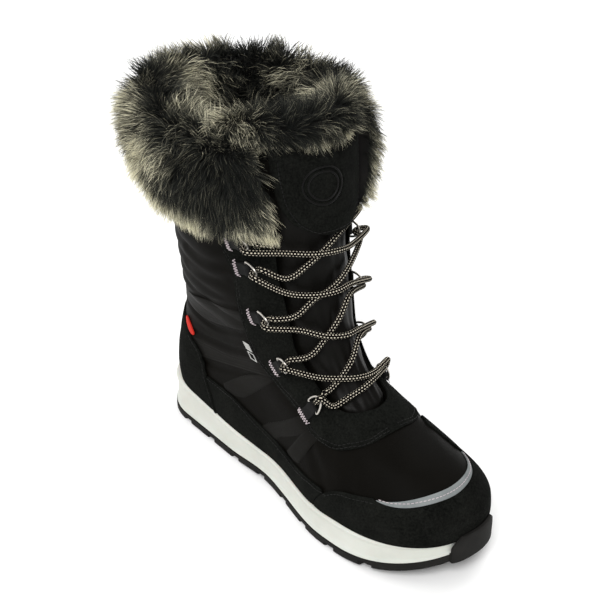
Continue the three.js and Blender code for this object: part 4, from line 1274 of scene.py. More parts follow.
def share_rows(rows: Sequence[tuple[float, float]], height: float) -> Array:
    """Outline in shares of half the sole length and of a height, in millimetres."""
    return np.array(rows) * [LAST.half_length, height]


def beside(outline: Array) -> Callable[[Array], Array]:
    """Depth inside an outline that is seen from the side."""
    return lambda p: depth_in(p[:, [0, 2]], outline)


# Throat and upper


@dataclass
class Throat:
    """The opening over the instep and up the front of the shaft."""

    width: float = 66.0
    start: float = -14.0
    end: float = 62.0
    side: tuple[tuple[float, float], ...] = (
        (0.00, 1.06),
        (0.05, 1.00),
        (0.17, 0.88),
        (0.26, 0.82),
        (0.46, 0.70),
        (0.78, 0.63),
        (0.90, 0.49),
        (0.97, 0.26),
    )
    bed: tuple[tuple[float, float], ...] = (
        (-0.100, 1.100),
        (-0.100, 0.640),
        (-0.057, 0.520),
        (-0.014, 0.448),
        (0.071, 0.384),
        (0.250, 0.328),
        (0.430, 0.300),
        (0.700, 0.280),
        (0.700, 1.100),
    )

    def __post_init__(self) -> None:
        """Works out the outlines from above and from the side."""
        reach = self.end - self.start
        half = np.array([(self.start + a * reach, b * self.width / 2) for a, b in self.side])
        plan = np.vstack([half, [[self.end, 0]], (half * [1, -1])[::-1]])
        self.plan = rounded(plan, 2)
        self.outline = rounded(share_rows(self.bed, LAST.collar_front), 2)

    def depth(self, p: Array) -> Array:
        """Distance inside the throat, below 0 outside it."""
        return np.minimum(depth_in(p[:, :2], self.plan), depth_in(p[:, [0, 2]], self.outline))


THROAT = Throat()


@dataclass
class Crease:
    """A soft trough across a side, with a ridge beside it."""

    path: tuple[tuple[float, float], ...]
    depth: float
    width: float
    sides: tuple[Side, ...] = (Side.OUTER, Side.INNER)

    def height(self, p: Array) -> Array:
        """Rise of the surface at points of the last's frame.

        Args:
            p: Points in the last's frame.

        Returns:
            One height for each point.
        """
        away = distance_to(p[:, [0, 2]], smooth_path(np.array(self.path), 4.0))
        trough = -self.depth * np.exp(-((away / self.width) ** 2))
        ridge = 0.45 * self.depth * np.exp(-(((away - 2.1 * self.width) / self.width) ** 2))
        on_side = np.isin(np.sign(p[:, 1]), [side.value for side in self.sides])
        return np.where(on_side, trough + ridge, 0.0)


CREASES = (
    Crease(((-128, 103), (-97, 104), (-67, 103), (-29, 117)), 1.1, 2.0),
    Crease(((-128, 122), (-89, 123), (-60, 131), (-28, 139)), 0.6, 1.8),
    Crease(((-92, 86), (-70, 90), (-52, 94), (-34, 100)), 0.7, 2.0),
    Crease(((-84, 64), (-64, 70), (-36, 79), (-12, 88)), 0.7, 1.8),
    Crease(((-80, 148), (-58, 151), (-36, 160)), 0.7, 3.2),
    Crease(((-78, 166), (-56, 163), (-38, 171)), 0.6, 3.4),
    Crease(((-46, 122), (-36, 128), (-27, 140)), 0.5, 2.6),
    Crease(((40, 62), (52, 52), (58, 44)), 0.7, 4.0),
    Crease(((66, 73), (76, 60), (80, 50)), 0.6, 4.5),
    Crease(((28, 74), (22, 58), (12, 45)), 0.5, 4.0),
)


@dataclass
class Upper:
    """The hollow upper with its soft channels and creases."""

    columns: int = 220
    rows: int = 128

    def build(self) -> Object:
        """Makes the upper, with its lining on the inner faces.

        Returns:
            The piece.
        """
        turn, level = np.meshgrid(np.linspace(0, 1, self.columns + 1), np.linspace(0, 1, self.rows + 1))
        keep = -THROAT.depth(LAST.at(turn.ravel(), level.ravel(), 0)).reshape(turn.shape)
        params, faces = trim(np.stack([turn, level], axis=-1), keep)
        turns, levels = params.T
        base = LAST.at(turns, levels, 0)
        rise = LAST.quilt(turns, levels) + sum(crease.height(base) for crease in CREASES)
        fade = np.clip((1 - levels) / 0.04, 0, 1) * np.clip(levels / 0.04, 0, 1)
        near = np.clip(-THROAT.depth(base) / 8, 0, 1)
        outside = LAST.at(turns, levels, np.minimum(rise * fade * near, LAST.quilt(turns, levels) + 0.25))
        inside = LAST.at(turns, levels, -LAST.wall)
        points, closed = thickened(outside, inside, faces)
        obj = make_mesh("upper_shell", LAST.to_row(points), closed, 50)
        obj.data.materials.append(NYLON.material())
        obj.data.materials.append(LINING.material())
        kinds = np.zeros(len(obj.data.polygons), np.int32)
        kinds[len(faces) : 2 * len(faces)] = 1
        obj.data.polygons.foreach_set("material_index", kinds)
        weld(obj)
        return finished(obj, NYLON, ["upper"])


# Overlays


@dataclass
class Overlays:
    """Suede and smooth panels that are sewn on the upper."""

    gap: float = 0.3
    thickness: float = 1.3
    mouth_centre: tuple[float, float] = (88.0, 4.5)
    mouth_length: float = 42.0
    mouth_width: float = 78.8
    reflector_width: float = 5.0
    reflector_thickness: float = 0.9
    nose: float = 97.0
    eyestay_edge: tuple[tuple[float, float], ...] = (
        (-0.300, 1.040),
        (-0.279, 0.780),
        (-0.275, 0.720),
        (-0.225, 0.665),
        (-0.229, 0.580),
        (-0.214, 0.472),
        (-0.150, 0.396),
        (-0.007, 0.356),
        (0.157, 0.322),
        (0.271, 0.288),
        (0.414, 0.284),
        (0.479, 0.298),
        (0.550, 0.318),
        (0.571, 0.345),
        (0.571, 1.040),
    )
    counter_front: tuple[tuple[float, float], ...] = (
        (-0.700, 0.870),
        (-0.621, 0.793),
        (-0.579, 0.707),
        (-0.557, 0.587),
        (-0.514, 0.424),
        (-0.493, 0.304),
        (-0.486, 0.000),
    )
    counter_top: tuple[tuple[float, float], ...] = ((-1.2, 0.0), (-1.2, 1.07), (-0.92, 1.03), (-0.78, 0.955))
    cap_seam: tuple[tuple[float, float], ...] = ((0.343, 0.0), (0.350, 0.272), (0.364, 0.348))
    rand_outer: tuple[tuple[float, float], ...] = (
        (-0.560, 0.615),
        (-0.329, 0.598),
        (-0.143, 0.522),
        (0.171, 0.457),
        (0.350, 0.478),
        (0.443, 0.489),
    )
    rand_inner: tuple[tuple[float, float], ...] = (
        (-0.560, 0.615),
        (-0.329, 0.598),
        (-0.143, 0.560),
        (0.171, 0.590),
        (0.350, 0.680),
        (0.443, 0.760),
    )
    cap_outer: tuple[tuple[float, float], ...] = ((0.443, 0.489), (0.514, 0.554), (0.6, 0.587), (0.693, 0.62))
    cap_inner: tuple[tuple[float, float], ...] = (
        (0.443, 0.760),
        (0.540, 0.805),
        (0.571, 0.800),
        (0.600, 0.750),
        (0.693, 0.655),
    )
    seam: float = 0.25

    def eyestay_depth(self, p: Array) -> Array:
        """Depth inside the eyestay."""
        outline = rounded(share_rows(self.eyestay_edge, LAST.collar_front), 2)
        return np.minimum(depth_in(p[:, [0, 2]], outline), 0.7 - THROAT.depth(p))

    def mouth(self, shift: float) -> Array:
        """Outline of the toe cap's mouth from above, moved towards the heel.

        Args:
            shift: How far it is moved.

        Returns:
            Corners of the outline.
        """
        angle = np.linspace(-np.pi / 2, np.pi / 2, 60)
        x0, y0 = self.mouth_centre
        half = self.mouth_width / 2 + 0.26 * shift
        front = np.stack([x0 - shift + self.mouth_length * np.cos(angle), y0 + half * np.sin(angle)], axis=1)
        return np.vstack([front, [[0, y0 + half]], [[0, y0 - half]]])

    def cap_depth(self, p: Array) -> Array:
        """Depth inside the toe cap.

        Args:
            p: Points in the last's frame.

        Returns:
            One distance for each point.
        """
        result = np.empty(len(p))
        inner = p[:, 1] > LAST.toe_swing
        for side, top in ((~inner, self.cap_outer), (inner, self.cap_inner)):
            seam = [(x + self.seam / LAST.half_length, z) for x, z in self.cap_seam]
            end = top[-1][0] + 0.03
            rest = [(end, 1.0), (1.2, 1.0), (1.2, -0.2), (self.cap_seam[0][0], -0.2)]
            rows = [*seam, *top, (end, top[-1][1] + 0.01), *rest]
            outline = rounded(share_rows(rows, LAST.instep), 2)
            result[side] = depth_in(p[side][:, [0, 2]], outline)
        opening = np.minimum(depth_in(p[:, :2], self.mouth(0)), p[:, 0] - self.nose)
        return np.minimum(result, -opening)

    def reflector_depth(self, p: Array) -> Array:
        """Depth inside the pale crescent.

        Args:
            p: Points in the last's frame.

        Returns:
            One distance for each point.
        """
        front = depth_in(p[:, :2], self.mouth(0)) - 0.2
        back = -depth_in(p[:, :2], self.mouth(self.reflector_width))
        return np.minimum(np.minimum(front, back), p[:, 0] - self.nose - 0.3)

    def rand_depth(self, top: Sequence[tuple[float, float]]) -> Callable[[Array], Array]:
        """Depth inside one rand.

        Args:
            top: The rand's upper edge.

        Returns:
            What gives the depth of points.
        """
        step = self.seam / LAST.half_length
        back = [(x + step, z) for x, z in reversed(self.counter_front[3:])]
        front = [(x - step, z) for x, z in (top[-1], *reversed(self.cap_seam))]
        rows = [(back[0][0], -0.2), *back, *top[:-1], *front, (front[-1][0], -0.2)]
        return beside(rounded(share_rows(rows, LAST.instep), 2))

    def counter_depth(self, p: Array) -> Array:
        """Depth inside the heel counter.

        Args:
            p: Points in the last's frame.

        Returns:
            One distance for each point.
        """
        step = self.seam / LAST.half_length
        front = [(x - step, z) for x, z in self.counter_front]
        rows = [*self.counter_top, *front, (front[-1][0], -0.2), (-1.2, -0.2)]
        return depth_in(p[:, [0, 2]], rounded(share_rows(rows, LAST.instep), 2))

    @staticmethod
    def seam_relief(_turn: Array, _level: Array, _p: Array, depth: Array) -> Array:
        """A sewn groove near the edge and a soft swell inside it."""
        groove = -0.28 * np.exp(-(((depth - 2.0) / 0.55) ** 2))
        return groove + 0.2 * (1 - np.exp(-np.maximum(depth - 2, 0) / 3))

    def build(self) -> None:
        """Makes all panels."""
        rands = self.rand_depth(self.rand_outer), self.rand_depth(self.rand_inner)
        for node, inside, turns, levels, columns, rows in (
            ("eyestay", self.eyestay_depth, (0.16, 0.84), (0.14, 0.83), 250, 175),
            ("toe_cap", self.cap_depth, (0.24, 0.76), (0, 0.34), 230, 90),
            ("rand_lateral", rands[0], (0.10, 0.42), (0, 0.24), 220, 60),
            ("rand_medial", rands[1], (0.58, 0.90), (0, 0.32), 220, 80),
            ("heel_counter", self.counter_depth, (-0.22, 0.22), (0, 0.40), 190, 78),
        ):
            place = (f"{node}_suede", inside, turns, levels, columns, rows)
            Panel(*place, self.gap, self.thickness, self.seam_relief).make(SUEDE, [node])
        strip = ("toe_reflector_strip", self.reflector_depth, (0.33, 0.67), (0.04, 0.24), 300, 130)
        reflector = Panel(*strip, self.gap, self.reflector_thickness, edge_drop=0.3)
        reflector.make(REFLECTOR, ["toe_reflector"])


@dataclass
class SmoothBands:
    """Smooth bands on the quarter, with fine ribs along their edges."""

    base: float = 0.05
    thickness: float = 0.45
    outlines: tuple[tuple[tuple[float, float], ...], ...] = (
        (
            *((-160, 112), (-106, 116), (-89, 121), (-74, 126), (-54, 130), (-20, 138)),
            *((-20, 123), (-29, 120.5), (-67, 106.5), (-86, 105), (-97, 106), (-160, 102)),
        ),
        (
            *((-103, 79), (-93, 81), (-75, 85), (-55, 88), (-37, 94), (-12, 105)),
            *((-2, 94), (-12, 91), (-37, 83), (-67, 74), (-83, 69), (-96, 66)),
        ),
        ((-28, 84.5), (-46, 71), (-63, 56), (-40, 56), (-22, 73), (0, 96)),
        ((-16, 44), (-15, 49.9), (8, 66), (27, 82), (37, 76), (27, 66), (14, 57), (4.2, 51), (0, 44)),
        ((46, 76), (40, 66), (34, 54), (29, 44), (13, 44), (17, 50), (27, 66), (33, 76)),
    )

    @staticmethod
    def ribs(_turn: Array, _level: Array, _p: Array, depth: Array) -> Array:
        """Fine raised lines along the edges."""
        return 0.16 * np.exp(-(((depth - 1.5) / 0.45) ** 2)) + 0.16 * np.exp(-(((depth - 3.3) / 0.45) ** 2))

    def build(self) -> None:
        """Makes each band on both sides, under the eyestay."""
        for number, outline in enumerate(self.outlines):
            xz = rounded(np.array(outline), 1)
            low, high = xz[:, 1].min(), xz[:, 1].max()
            whole = xz[:, 0].min() < -LAST.half_length
            spans = [(-0.36, 0.36)] if whole else [(0.02, 0.42), (0.58, 0.98)]
            for part, turns in enumerate(spans):
                levels = (0.0 if low < 60 else 0.16, 0.62 if high > 115 else 0.48)
                place = (f"smooth_band_{number + 1}_{'ab'[part]}", beside(xz), turns, levels, 260, 150)
                Panel(*place, self.base, self.thickness, self.ribs, 0.25).make(FILM)


@dataclass
class HeelTag:
    """Small woven tag in the seam over the counter."""

    outline: tuple[tuple[float, float], ...] = (
        (-0.750, 1.010),
        (-0.765, 0.960),
        (-0.700, 0.885),
        (-0.655, 0.900),
        (-0.690, 0.965),
    )
    base: float = 0.4
    thickness: float = 1.0

    def build(self) -> None:
        """Makes the tag."""
        inside = beside(rounded(share_rows(self.outline, LAST.instep), 1))
        place = ("heel_tag_tape", inside, (0.06, 0.26), (0.20, 0.40), 160, 80)
        Panel(*place, self.base, self.thickness, edge_drop=0.2).make(TAG, ["heel_tag"])


# Sole

BOX_FACES = [[0, 3, 2, 1], [4, 5, 6, 7], [0, 1, 5, 4], [1, 2, 6, 5], [2, 3, 7, 6], [3, 0, 4, 7]]


@dataclass
class Sole:
    """Foam midsole, rubber outsole and felt insole."""

    outsole_edge: float = 7.0
    toe_spring: float = 15.0
    heel_bevel: float = 3.0
    arch_lift: float = 2.0
    waisting: float = 1.6
    gap: float = 0.3
    columns: int = 288
    lug_depth: float = 4.0
    lug_pitch: float = 28.8
    groove_first: float = -101.8
    groove_width: float = 9.0
    groove_slant: float = 12.0
    channel: tuple[float, float, float] = (-112.0, 96.0, 6.0)
    cutter_foot: float = -20.0
    bumper_thickness: float = 2.6
    bumper_width: float = 32.0
    bumper_height: float = 36.0
    bumper_wrap: float = 9.0
    groove_count: int = 8
    sipe_places: tuple[float, ...] = (0.44, 0.66)
    sipe_width: float = 1.2
    sipe_depth: float = 1.8
    sipe_span: tuple[float, float] = (7.0, 30.0)
    inlay: float = 9.0
    # share of the rise, share of the waisting
    profile: tuple[tuple[float, float], ...] = ((0.0, 0.0), (0.22, 0.9), (0.72, 1.0), (0.90, 0.5), (1.0, 0.9))
    # share of the edge's height, growth
    outsole_section: tuple[tuple[float, float], ...] = (
        *((0, -9.0), (0, -1.9), (0.06, -1.0), (0.16, -0.4), (0.28, 0)),
        *((0.6, 0.0), (0.93, 0.0), (1.0, -0.5), (1.0, -9.0)),
    )
    # height over the seat, distance in from the feather line
    insole_section: tuple[tuple[float, float], ...] = (
        *((0, 4.4), (0.3, 3.7)),
        *((3.4, 3.7), (4.0, 4.4), (4.0, 12.0)),
    )

    def floor_line(self, along: Array) -> Array:
        """Heights of the underside from heel to toe.

        Args:
            along: Shares of the length from heel to toe.

        Returns:
            One height for each share.
        """
        spring = self.toe_spring * np.clip((along - 0.74) / 0.26, 0, 1) ** 2
        bevel = self.heel_bevel * np.clip((0.1 - along) / 0.1, 0, 1) ** 2
        arch = self.arch_lift * np.sin(np.pi * np.clip((along - 0.32) / 0.22, 0, 1)) ** 2
        return spring + bevel + arch

    def seat(self, along: Array) -> Array:
        """Heights of the seat that the upper stands on."""
        return LAST.seat_heel + (LAST.seat_toe - LAST.seat_heel) * along - LAST.seat_sag * LAST.sag(along)

    def ring(self, grow: float, height: Callable[[Array], Array]) -> Array:
        """Ring round the sole's outline, grown outwards.

        Args:
            grow: How far it is grown.
            height: Gives the height at each share of the length.

        Returns:
            Points of the ring.
        """
        along, side = LAST.along(np.arange(self.columns) / self.columns)
        one = np.ones(self.columns)
        section = {
            "heel": one * (LAST.heel_width / 2 + grow),
            "waist": one * (LAST.waist_width / 2 + grow),
            "ball": one * (LAST.ball_width / 2 + grow),
            "heel_cap": 0.13,
            "toe_cap": 0.24,
            "heel_round": 2.3,
            "toe_round": 2.3,
            "swing": LAST.toe_swing,
        }
        x = -LAST.half_length - grow + 2 * (LAST.half_length + grow) * along
        return np.stack([x, LAST.sideways(section, along, side), height(along)], axis=1)

    def midsole(self) -> None:
        """Makes the midsole with its drawn-in side and rolled lip."""
        rises, draws = np.array(self.profile).T
        rows = []
        for rise in np.concatenate([[0, 0.008, 0.03], np.linspace(0.07, 0.93, 22), [0.97, 0.992, 1.0]]):
            draw = monotone(rises, draws, np.array([rise]))[0] * self.waisting
            draw += 0.8 * math.exp(-rise / 0.012) + 0.8 * math.exp(-(1 - rise) / 0.012)
            draw += 0.25 * math.exp(-(((rise - 0.80) / 0.02) ** 2))
            rows.append(self.ring(-draw, lambda along, r=rise: self.side_height(along, r)))
        inner = self.ring(-self.inlay, lambda along: self.side_height(along, 1.0))
        under = self.ring(-self.inlay, lambda along: self.side_height(along, 0.0))
        points, faces = rings_mesh(np.array([under, *rows, inner]))
        obj = make_mesh("midsole_foam", LAST.to_row(points), faces, 60)
        weld(obj)
        finished(obj, FOAM, ["midsole"])

    def side_height(self, along: Array, rise: float) -> Array:
        """Height of the midsole's side at a share of its rise."""
        bottom = self.floor_line(along) + self.outsole_edge + self.gap
        return bottom + rise * (self.seat(along) - self.gap - bottom)

    def outsole(self) -> None:
        """Makes the outsole: plate and bumper, with grooves and sipes cut out of it."""
        rows = []
        for rise, grow in self.outsole_section:
            rows.append(self.ring(grow, lambda along, r=rise: self.floor_line(along) + r * self.outsole_edge))
        points, faces = rings_mesh(np.array(rows))
        plate = make_mesh("outsole_plate", LAST.to_row(points), faces, 35)
        weld(plate)
        for side in Side:
            cutter = joined("outsole_cuts", self.cuts(side.value))
            weld(cutter, 1e-7)
            self.carve(plate, cutter)
        channel = joined("outsole_channel", [self.channel_block()])
        weld(channel, 1e-7)
        self.carve(plate, channel)
        lots = [(self.corners(plate), [list(p.vertices) for p in plate.data.polygons])]
        bpy.data.objects.remove(plate)
        obj = joined("outsole_rubber", [*lots, self.bumper()], 35)
        finished(obj, RUBBER, ["outsole"])

    @staticmethod
    def corners(obj: Object) -> Array:
        """Corners of a mesh in metres.

        Args:
            obj: The piece.

        Returns:
            One row for each corner.
        """
        flat = np.empty(len(obj.data.vertices) * 3)
        obj.data.vertices.foreach_get("co", flat)
        return flat.reshape(-1, 3)

    @staticmethod
    def carve(obj: Object, tool: Object) -> None:
        """Cuts a closed mesh out of another and removes the tool.

        Args:
            obj: What is cut.
            tool: What is cut away.
        """
        modifier = obj.modifiers.new("carve", "BOOLEAN")
        modifier.operation = "DIFFERENCE"
        modifier.solver = "EXACT"
        modifier.object = tool
        bpy.context.view_layer.update()
        mesh = bpy.data.meshes.new_from_object(obj.evaluated_get(bpy.context.evaluated_depsgraph_get()))
        obj.modifiers.remove(modifier)
        obj.data = mesh
        bpy.data.objects.remove(tool)

    def block(self, x: float, side: int, width: float, depth: float, inner: float, outer: float) -> Solid:
        """Slanted block that cuts a groove from one distance off the middle to another.

        Args:
            x: Place of the cut along the sole.
            side: Side of the foot, as the sign of Y.
            width: Width of the cut.
            depth: Depth of the cut.
            inner: Distance from the middle where it starts.
            outer: Distance from the middle where it ends.

        Returns:
            The points in metres and the faces.
        """
        along = np.array([(x + LAST.half_length) / (2 * LAST.half_length)])
        top = self.floor_line(along)[0] + depth
        slope = math.tan(math.radians(self.groove_slant))
        y = np.array([inner, outer])
        centre = x + slope * (LAST.ball_width / 2) - self.groove_width / 2 - slope * y
        corners = []
        for z in (self.cutter_foot, top):
            corners += [(centre[0] - width / 2, side * y[0], z), (centre[0] + width / 2, side * y[0], z)]
            corners += [(centre[1] + width / 2, side * y[1], z), (centre[1] - width / 2, side * y[1], z)]
        faces = BOX_FACES
        if side < 0:
            faces = [f[::-1] for f in faces]
        return LAST.to_row(np.array(corners)), faces

    def cuts(self, side: int) -> list[Solid]:
        """Blocks of one side's grooves and of the sipes between them.

        Args:
            side: Side of the foot, as the sign of Y.

        Returns:
            Points in metres and faces of each block.
        """
        blocks = []
        for i in range(self.groove_count):
            x = self.groove_first + i * self.lug_pitch
            blocks.append(self.block(x, side, self.groove_width, self.lug_depth, 1.0, LAST.ball_width))
            for step in self.sipe_places:
                place = x + step * self.lug_pitch
                blocks.append(self.block(place, side, self.sipe_width, self.sipe_depth, *self.sipe_span))
        return blocks

    def channel_block(self) -> Solid:
        """Block of the channel along the middle.

        Returns:
            The points in metres and the faces.
        """
        start, end, width = self.channel
        half = width / 2
        plan = ((start, -half), (end, -half), (end, half), (start, half))
        corners = [(x, y, z) for z in (self.cutter_foot, self.lug_depth) for x, y in plan]
        return LAST.to_row(np.array(corners)), BOX_FACES

    def bumper(self) -> Solid:
        """Rubber that wraps up over the toe's tip.

        Returns:
            The points in metres and the faces.
        """
        outer_half, inner_half = self.bumper_width / 2, self.bumper_width / 2 + self.bumper_wrap
        span = np.linspace(-1, 1, 41)
        along, _ = LAST.along(np.array([0.5]))
        rings = []
        for share in np.linspace(0, 1, 22):
            taper = np.clip((share - 0.55) / 0.45, 0, 1) ** 1.6
            reach = np.where(span < 0, outer_half * (1 - 0.45 * taper), inner_half * (1 - 0.2 * taper))
            y = LAST.toe_swing + span * reach
            low = self.floor_line(along)[0] + 0.5
            z = low + share * (self.bumper_height - 1.2 - low)
            lean = 0.6 * math.exp(-(1 - share) / 0.06)
            face = self.front_line(y)
            rise = 0.9 * (1 - np.abs(span) ** 8)
            height = np.full(len(span), z)
            sunk = 1.5 if z < self.outsole_edge + low else -0.2
            outer = np.stack([face + self.bumper_thickness - 0.9 + rise - lean, y, height], axis=1)
            inner = np.stack([face - sunk, y, height], axis=1)
            rings.append(np.vstack([outer, inner[::-1]]))
        points, faces = rings_mesh(np.array(rings))
        return LAST.to_row(points), faces

    def front_line(self, y: Array) -> Array:
        """How far forward the sole's outline reaches at a place across it.

        Args:
            y: Places across the sole.

        Returns:
            One place along the sole for each.
        """
        ring = self.ring(self.gap, lambda along: along * 0)
        front = ring[(ring[:, 0] > LAST.half_length * 0.6)]
        order = np.argsort(front[:, 1])
        return np.interp(y, front[order, 1], front[order, 0])

    def insole(self) -> None:
        """Makes the felt footbed."""
        turn = np.arange(self.columns) / self.columns
        rings = []
        for rise, inset in self.insole_section:
            ring = LAST.at(turn, 0.0 * turn, -inset)
            ring[:, 2] += rise
            rings.append(ring)
        points, faces = rings_mesh(np.array(rings))
        obj = make_mesh("insole_felt", LAST.to_row(points), faces, 60)
        weld(obj)
        finished(obj, FELT, ["insole"])

    def build(self) -> None:
        """Makes the three pieces."""
        self.midsole()
        self.outsole()
        self.insole()


# Tongue and flap


@dataclass
class Tongue:
    """Padded tongue with upright folds, whose top stands behind the suede flap."""

    top: float = 251.7
    face_out: float = -2.0
    under_out: float = -4.3
    lining_out: float = -6.8
    tuck: float = 7.0
    # turn at the foot, turn at the top, height, width in turns
    folds: tuple[tuple[float, float, float, float], ...] = (
        (0.405, 0.420, 1.2, 0.012),
        (0.440, 0.448, 1.9, 0.015),
        (0.470, 0.482, 1.6, 0.013),
        (0.505, 0.508, 2.1, 0.016),
        (0.540, 0.534, 1.7, 0.014),
        (0.572, 0.562, 1.9, 0.015),
        (0.600, 0.588, 1.2, 0.012),
    )

    def build(self) -> None:
        """Makes the tongue."""
        turn, level = np.meshgrid(np.linspace(0.30, 0.70, 111), np.linspace(0.15, 1.0, 111))
        points = LAST.at(turn.ravel(), level.ravel(), self.face_out)
        keep = THROAT.depth(points) + self.tuck
        keep = np.minimum(keep, self.top - points[:, 2])
        keep = np.minimum(keep, np.where(points[:, 2] > 188, points[:, 0] + 10, 99))
        params, faces = trim(np.stack([turn, level], axis=-1), keep.reshape(turn.shape))
        turns, levels = params.T
        base = LAST.at(turns, levels, self.face_out)
        inside = np.clip((THROAT.depth(base) - 0.5) / 4, 0, 1)
        inside = inside * inside * (3 - 2 * inside)
        height = np.full(len(turns), -2.2)
        for low, high, rise, width in self.folds:
            sway = 0.004 * np.sin(levels * 23 + low * 90)
            middle = low + (high - low) * levels + sway
            fold = rise * np.exp(-(((turns - middle) / width) ** 2))
            height = height + fold * (0.7 + 0.3 * np.sin(levels * 14 + 40 * low))
        height = height + 0.35 * np.sin(levels * 60 + turns * 30)
        out = self.under_out + (np.minimum(height, 0.4) - self.under_out) * inside
        back = LAST.at(turns, levels, np.full(len(turns), self.lining_out))
        solid, closed = thickened(LAST.at(turns, levels, out), back, faces)
        finished(make_mesh("tongue_nylon", LAST.to_row(solid), closed, 60), SATIN, ["tongue"])


@dataclass
class Flap:
    """Shield of suede over the tongue's top, with a sewn border and plain raised rings."""

    middle: float = 2.0
    width: float = 70.0
    drop: float = 50.0
    thickness: float = 3.0
    standoff: float = 7.0
    bow: float = 20.0
    lean: float = 4.0
    top: float = 251.7
    rise: float = 0.28
    bend: float = 9.0
    ring_centre: tuple[float, float] = (-7.0, 236.0)
    ring_radii: tuple[float, ...] = (12.5, 9.5)

    def half(self, down: Array) -> Array:
        """Share of the half width down the drop."""
        return monotone([0, 0.45, 0.78, 0.92, 1], [1, 0.95, 0.79, 0.55, 0.2], down)

    def front(self, y: Array) -> Array:
        """Forward place of the flap's face across its width."""
        edge = LAST.at(np.array([0.5]), np.array([1.0]), self.standoff)[0, 0]
        return edge - self.bow * ((y - self.middle) / (self.width / 2)) ** 2

    def place(self, across: Array, down: Array, back: Array) -> Array:
        """Points of the flap from shares across and down it.

        Args:
            across: Shares across the flap.
            down: Shares down its drop.
            back: Distances behind its face.

        Returns:
            Points in the last's frame.
        """
        y = self.middle + across * self.width / 2 * self.half(np.maximum(down, 0))
        bent = self.bend * np.clip(-down / self.rise, 0, 1) ** 1.4
        x = self.front(y) + self.lean * down - back - bent
        return np.stack([x, y, self.top - self.drop * down], axis=-1)

    def build(self, stitching: Stitching) -> None:
        """Makes the flap and its border.

        Args:
            stitching: What sews the rows.
        """
        span = np.linspace(-1, 1, 97)
        span = np.sign(span) * np.abs(span) ** 0.9
        drops = np.concatenate([np.linspace(-self.rise, 0.97, 88), [0.985, 0.995, 1.0]])
        across, down = np.meshgrid(span, drops)
        flat = self.place(across.ravel(), down.ravel(), np.zeros(across.size))
        beside_edge = (1 - np.abs(across)).ravel() * self.half(np.maximum(down.ravel(), 0)) * self.width / 2
        edge = np.minimum(beside_edge, (1 - down.ravel()) * self.drop)
        rise = -0.9 * np.exp(-edge / 0.8) - 0.3 * np.exp(-(((edge - 3.0) / 0.6) ** 2))
        away = np.hypot(flat[:, 1] - self.ring_centre[0], flat[:, 2] - self.ring_centre[1])
        for radius in self.ring_radii:
            rise += 0.75 * np.exp(-(((away - radius) / 0.6) ** 2))
            rise -= 0.55 * np.exp(-(((away - radius - 1.5) / 0.7) ** 2))
        rise += 0.3 * np.sin(flat[:, 1] / 9.0 + 1) * np.sin(flat[:, 2] / 14.0)
        face = self.place(across.ravel(), down.ravel(), -np.minimum(rise, 0.6) + 0.6)
        back = self.place(across.ravel(), down.ravel(), self.thickness - 0.3 - 0.6 * np.exp(-edge / 0.8))
        faces = lattice_faces(*across.shape)[:, ::-1].tolist()
        points, closed = thickened(face, back, faces)
        obj = make_mesh("tongue_flap_suede", LAST.to_row(points), closed, 60)
        weld(obj, 1e-6)
        finished(obj, SUEDE, ["tongue_flap"])
        downs = np.linspace(0.02, 0.93, 40)
        reach = 1 - 3.0 / (self.half(downs) * self.width / 2)
        path = np.vstack([
            self.place(-reach, downs, np.full(40, 0.55)),
            self.place(np.linspace(-reach[-1], reach[-1], 12), np.full(12, 0.945), np.full(12, 0.55)),
            self.place(reach, downs, np.full(40, 0.55))[::-1],
        ])
        stitching.sew("flap_stitches", [path], THREAD)
        self.emblem()

    def emblem(self) -> None:
        """Makes the two plain raised rings on the flap."""
        angle = np.linspace(0, 2 * np.pi, 96, endpoint=False)
        lots = []
        for radius in self.ring_radii:
            y = self.ring_centre[0] + radius * np.cos(angle)
            down = (self.top - self.ring_centre[1] - radius * np.sin(angle)) / self.drop
            across = (y - self.middle) / (self.width / 2 * self.half(np.maximum(down, 0)))
            rings, _ = tube(self.place(across, down, np.full(len(angle), 0.25)), 0.62, 8, closed=True)
            points, faces = rings_mesh(np.concatenate([rings, rings[:1]]), cap=False)
            lots.append((LAST.to_row(points), faces))
        obj = joined("flap_emblem", lots, 60)
        weld(obj)
        finished(obj, EMBLEM)


# Fur


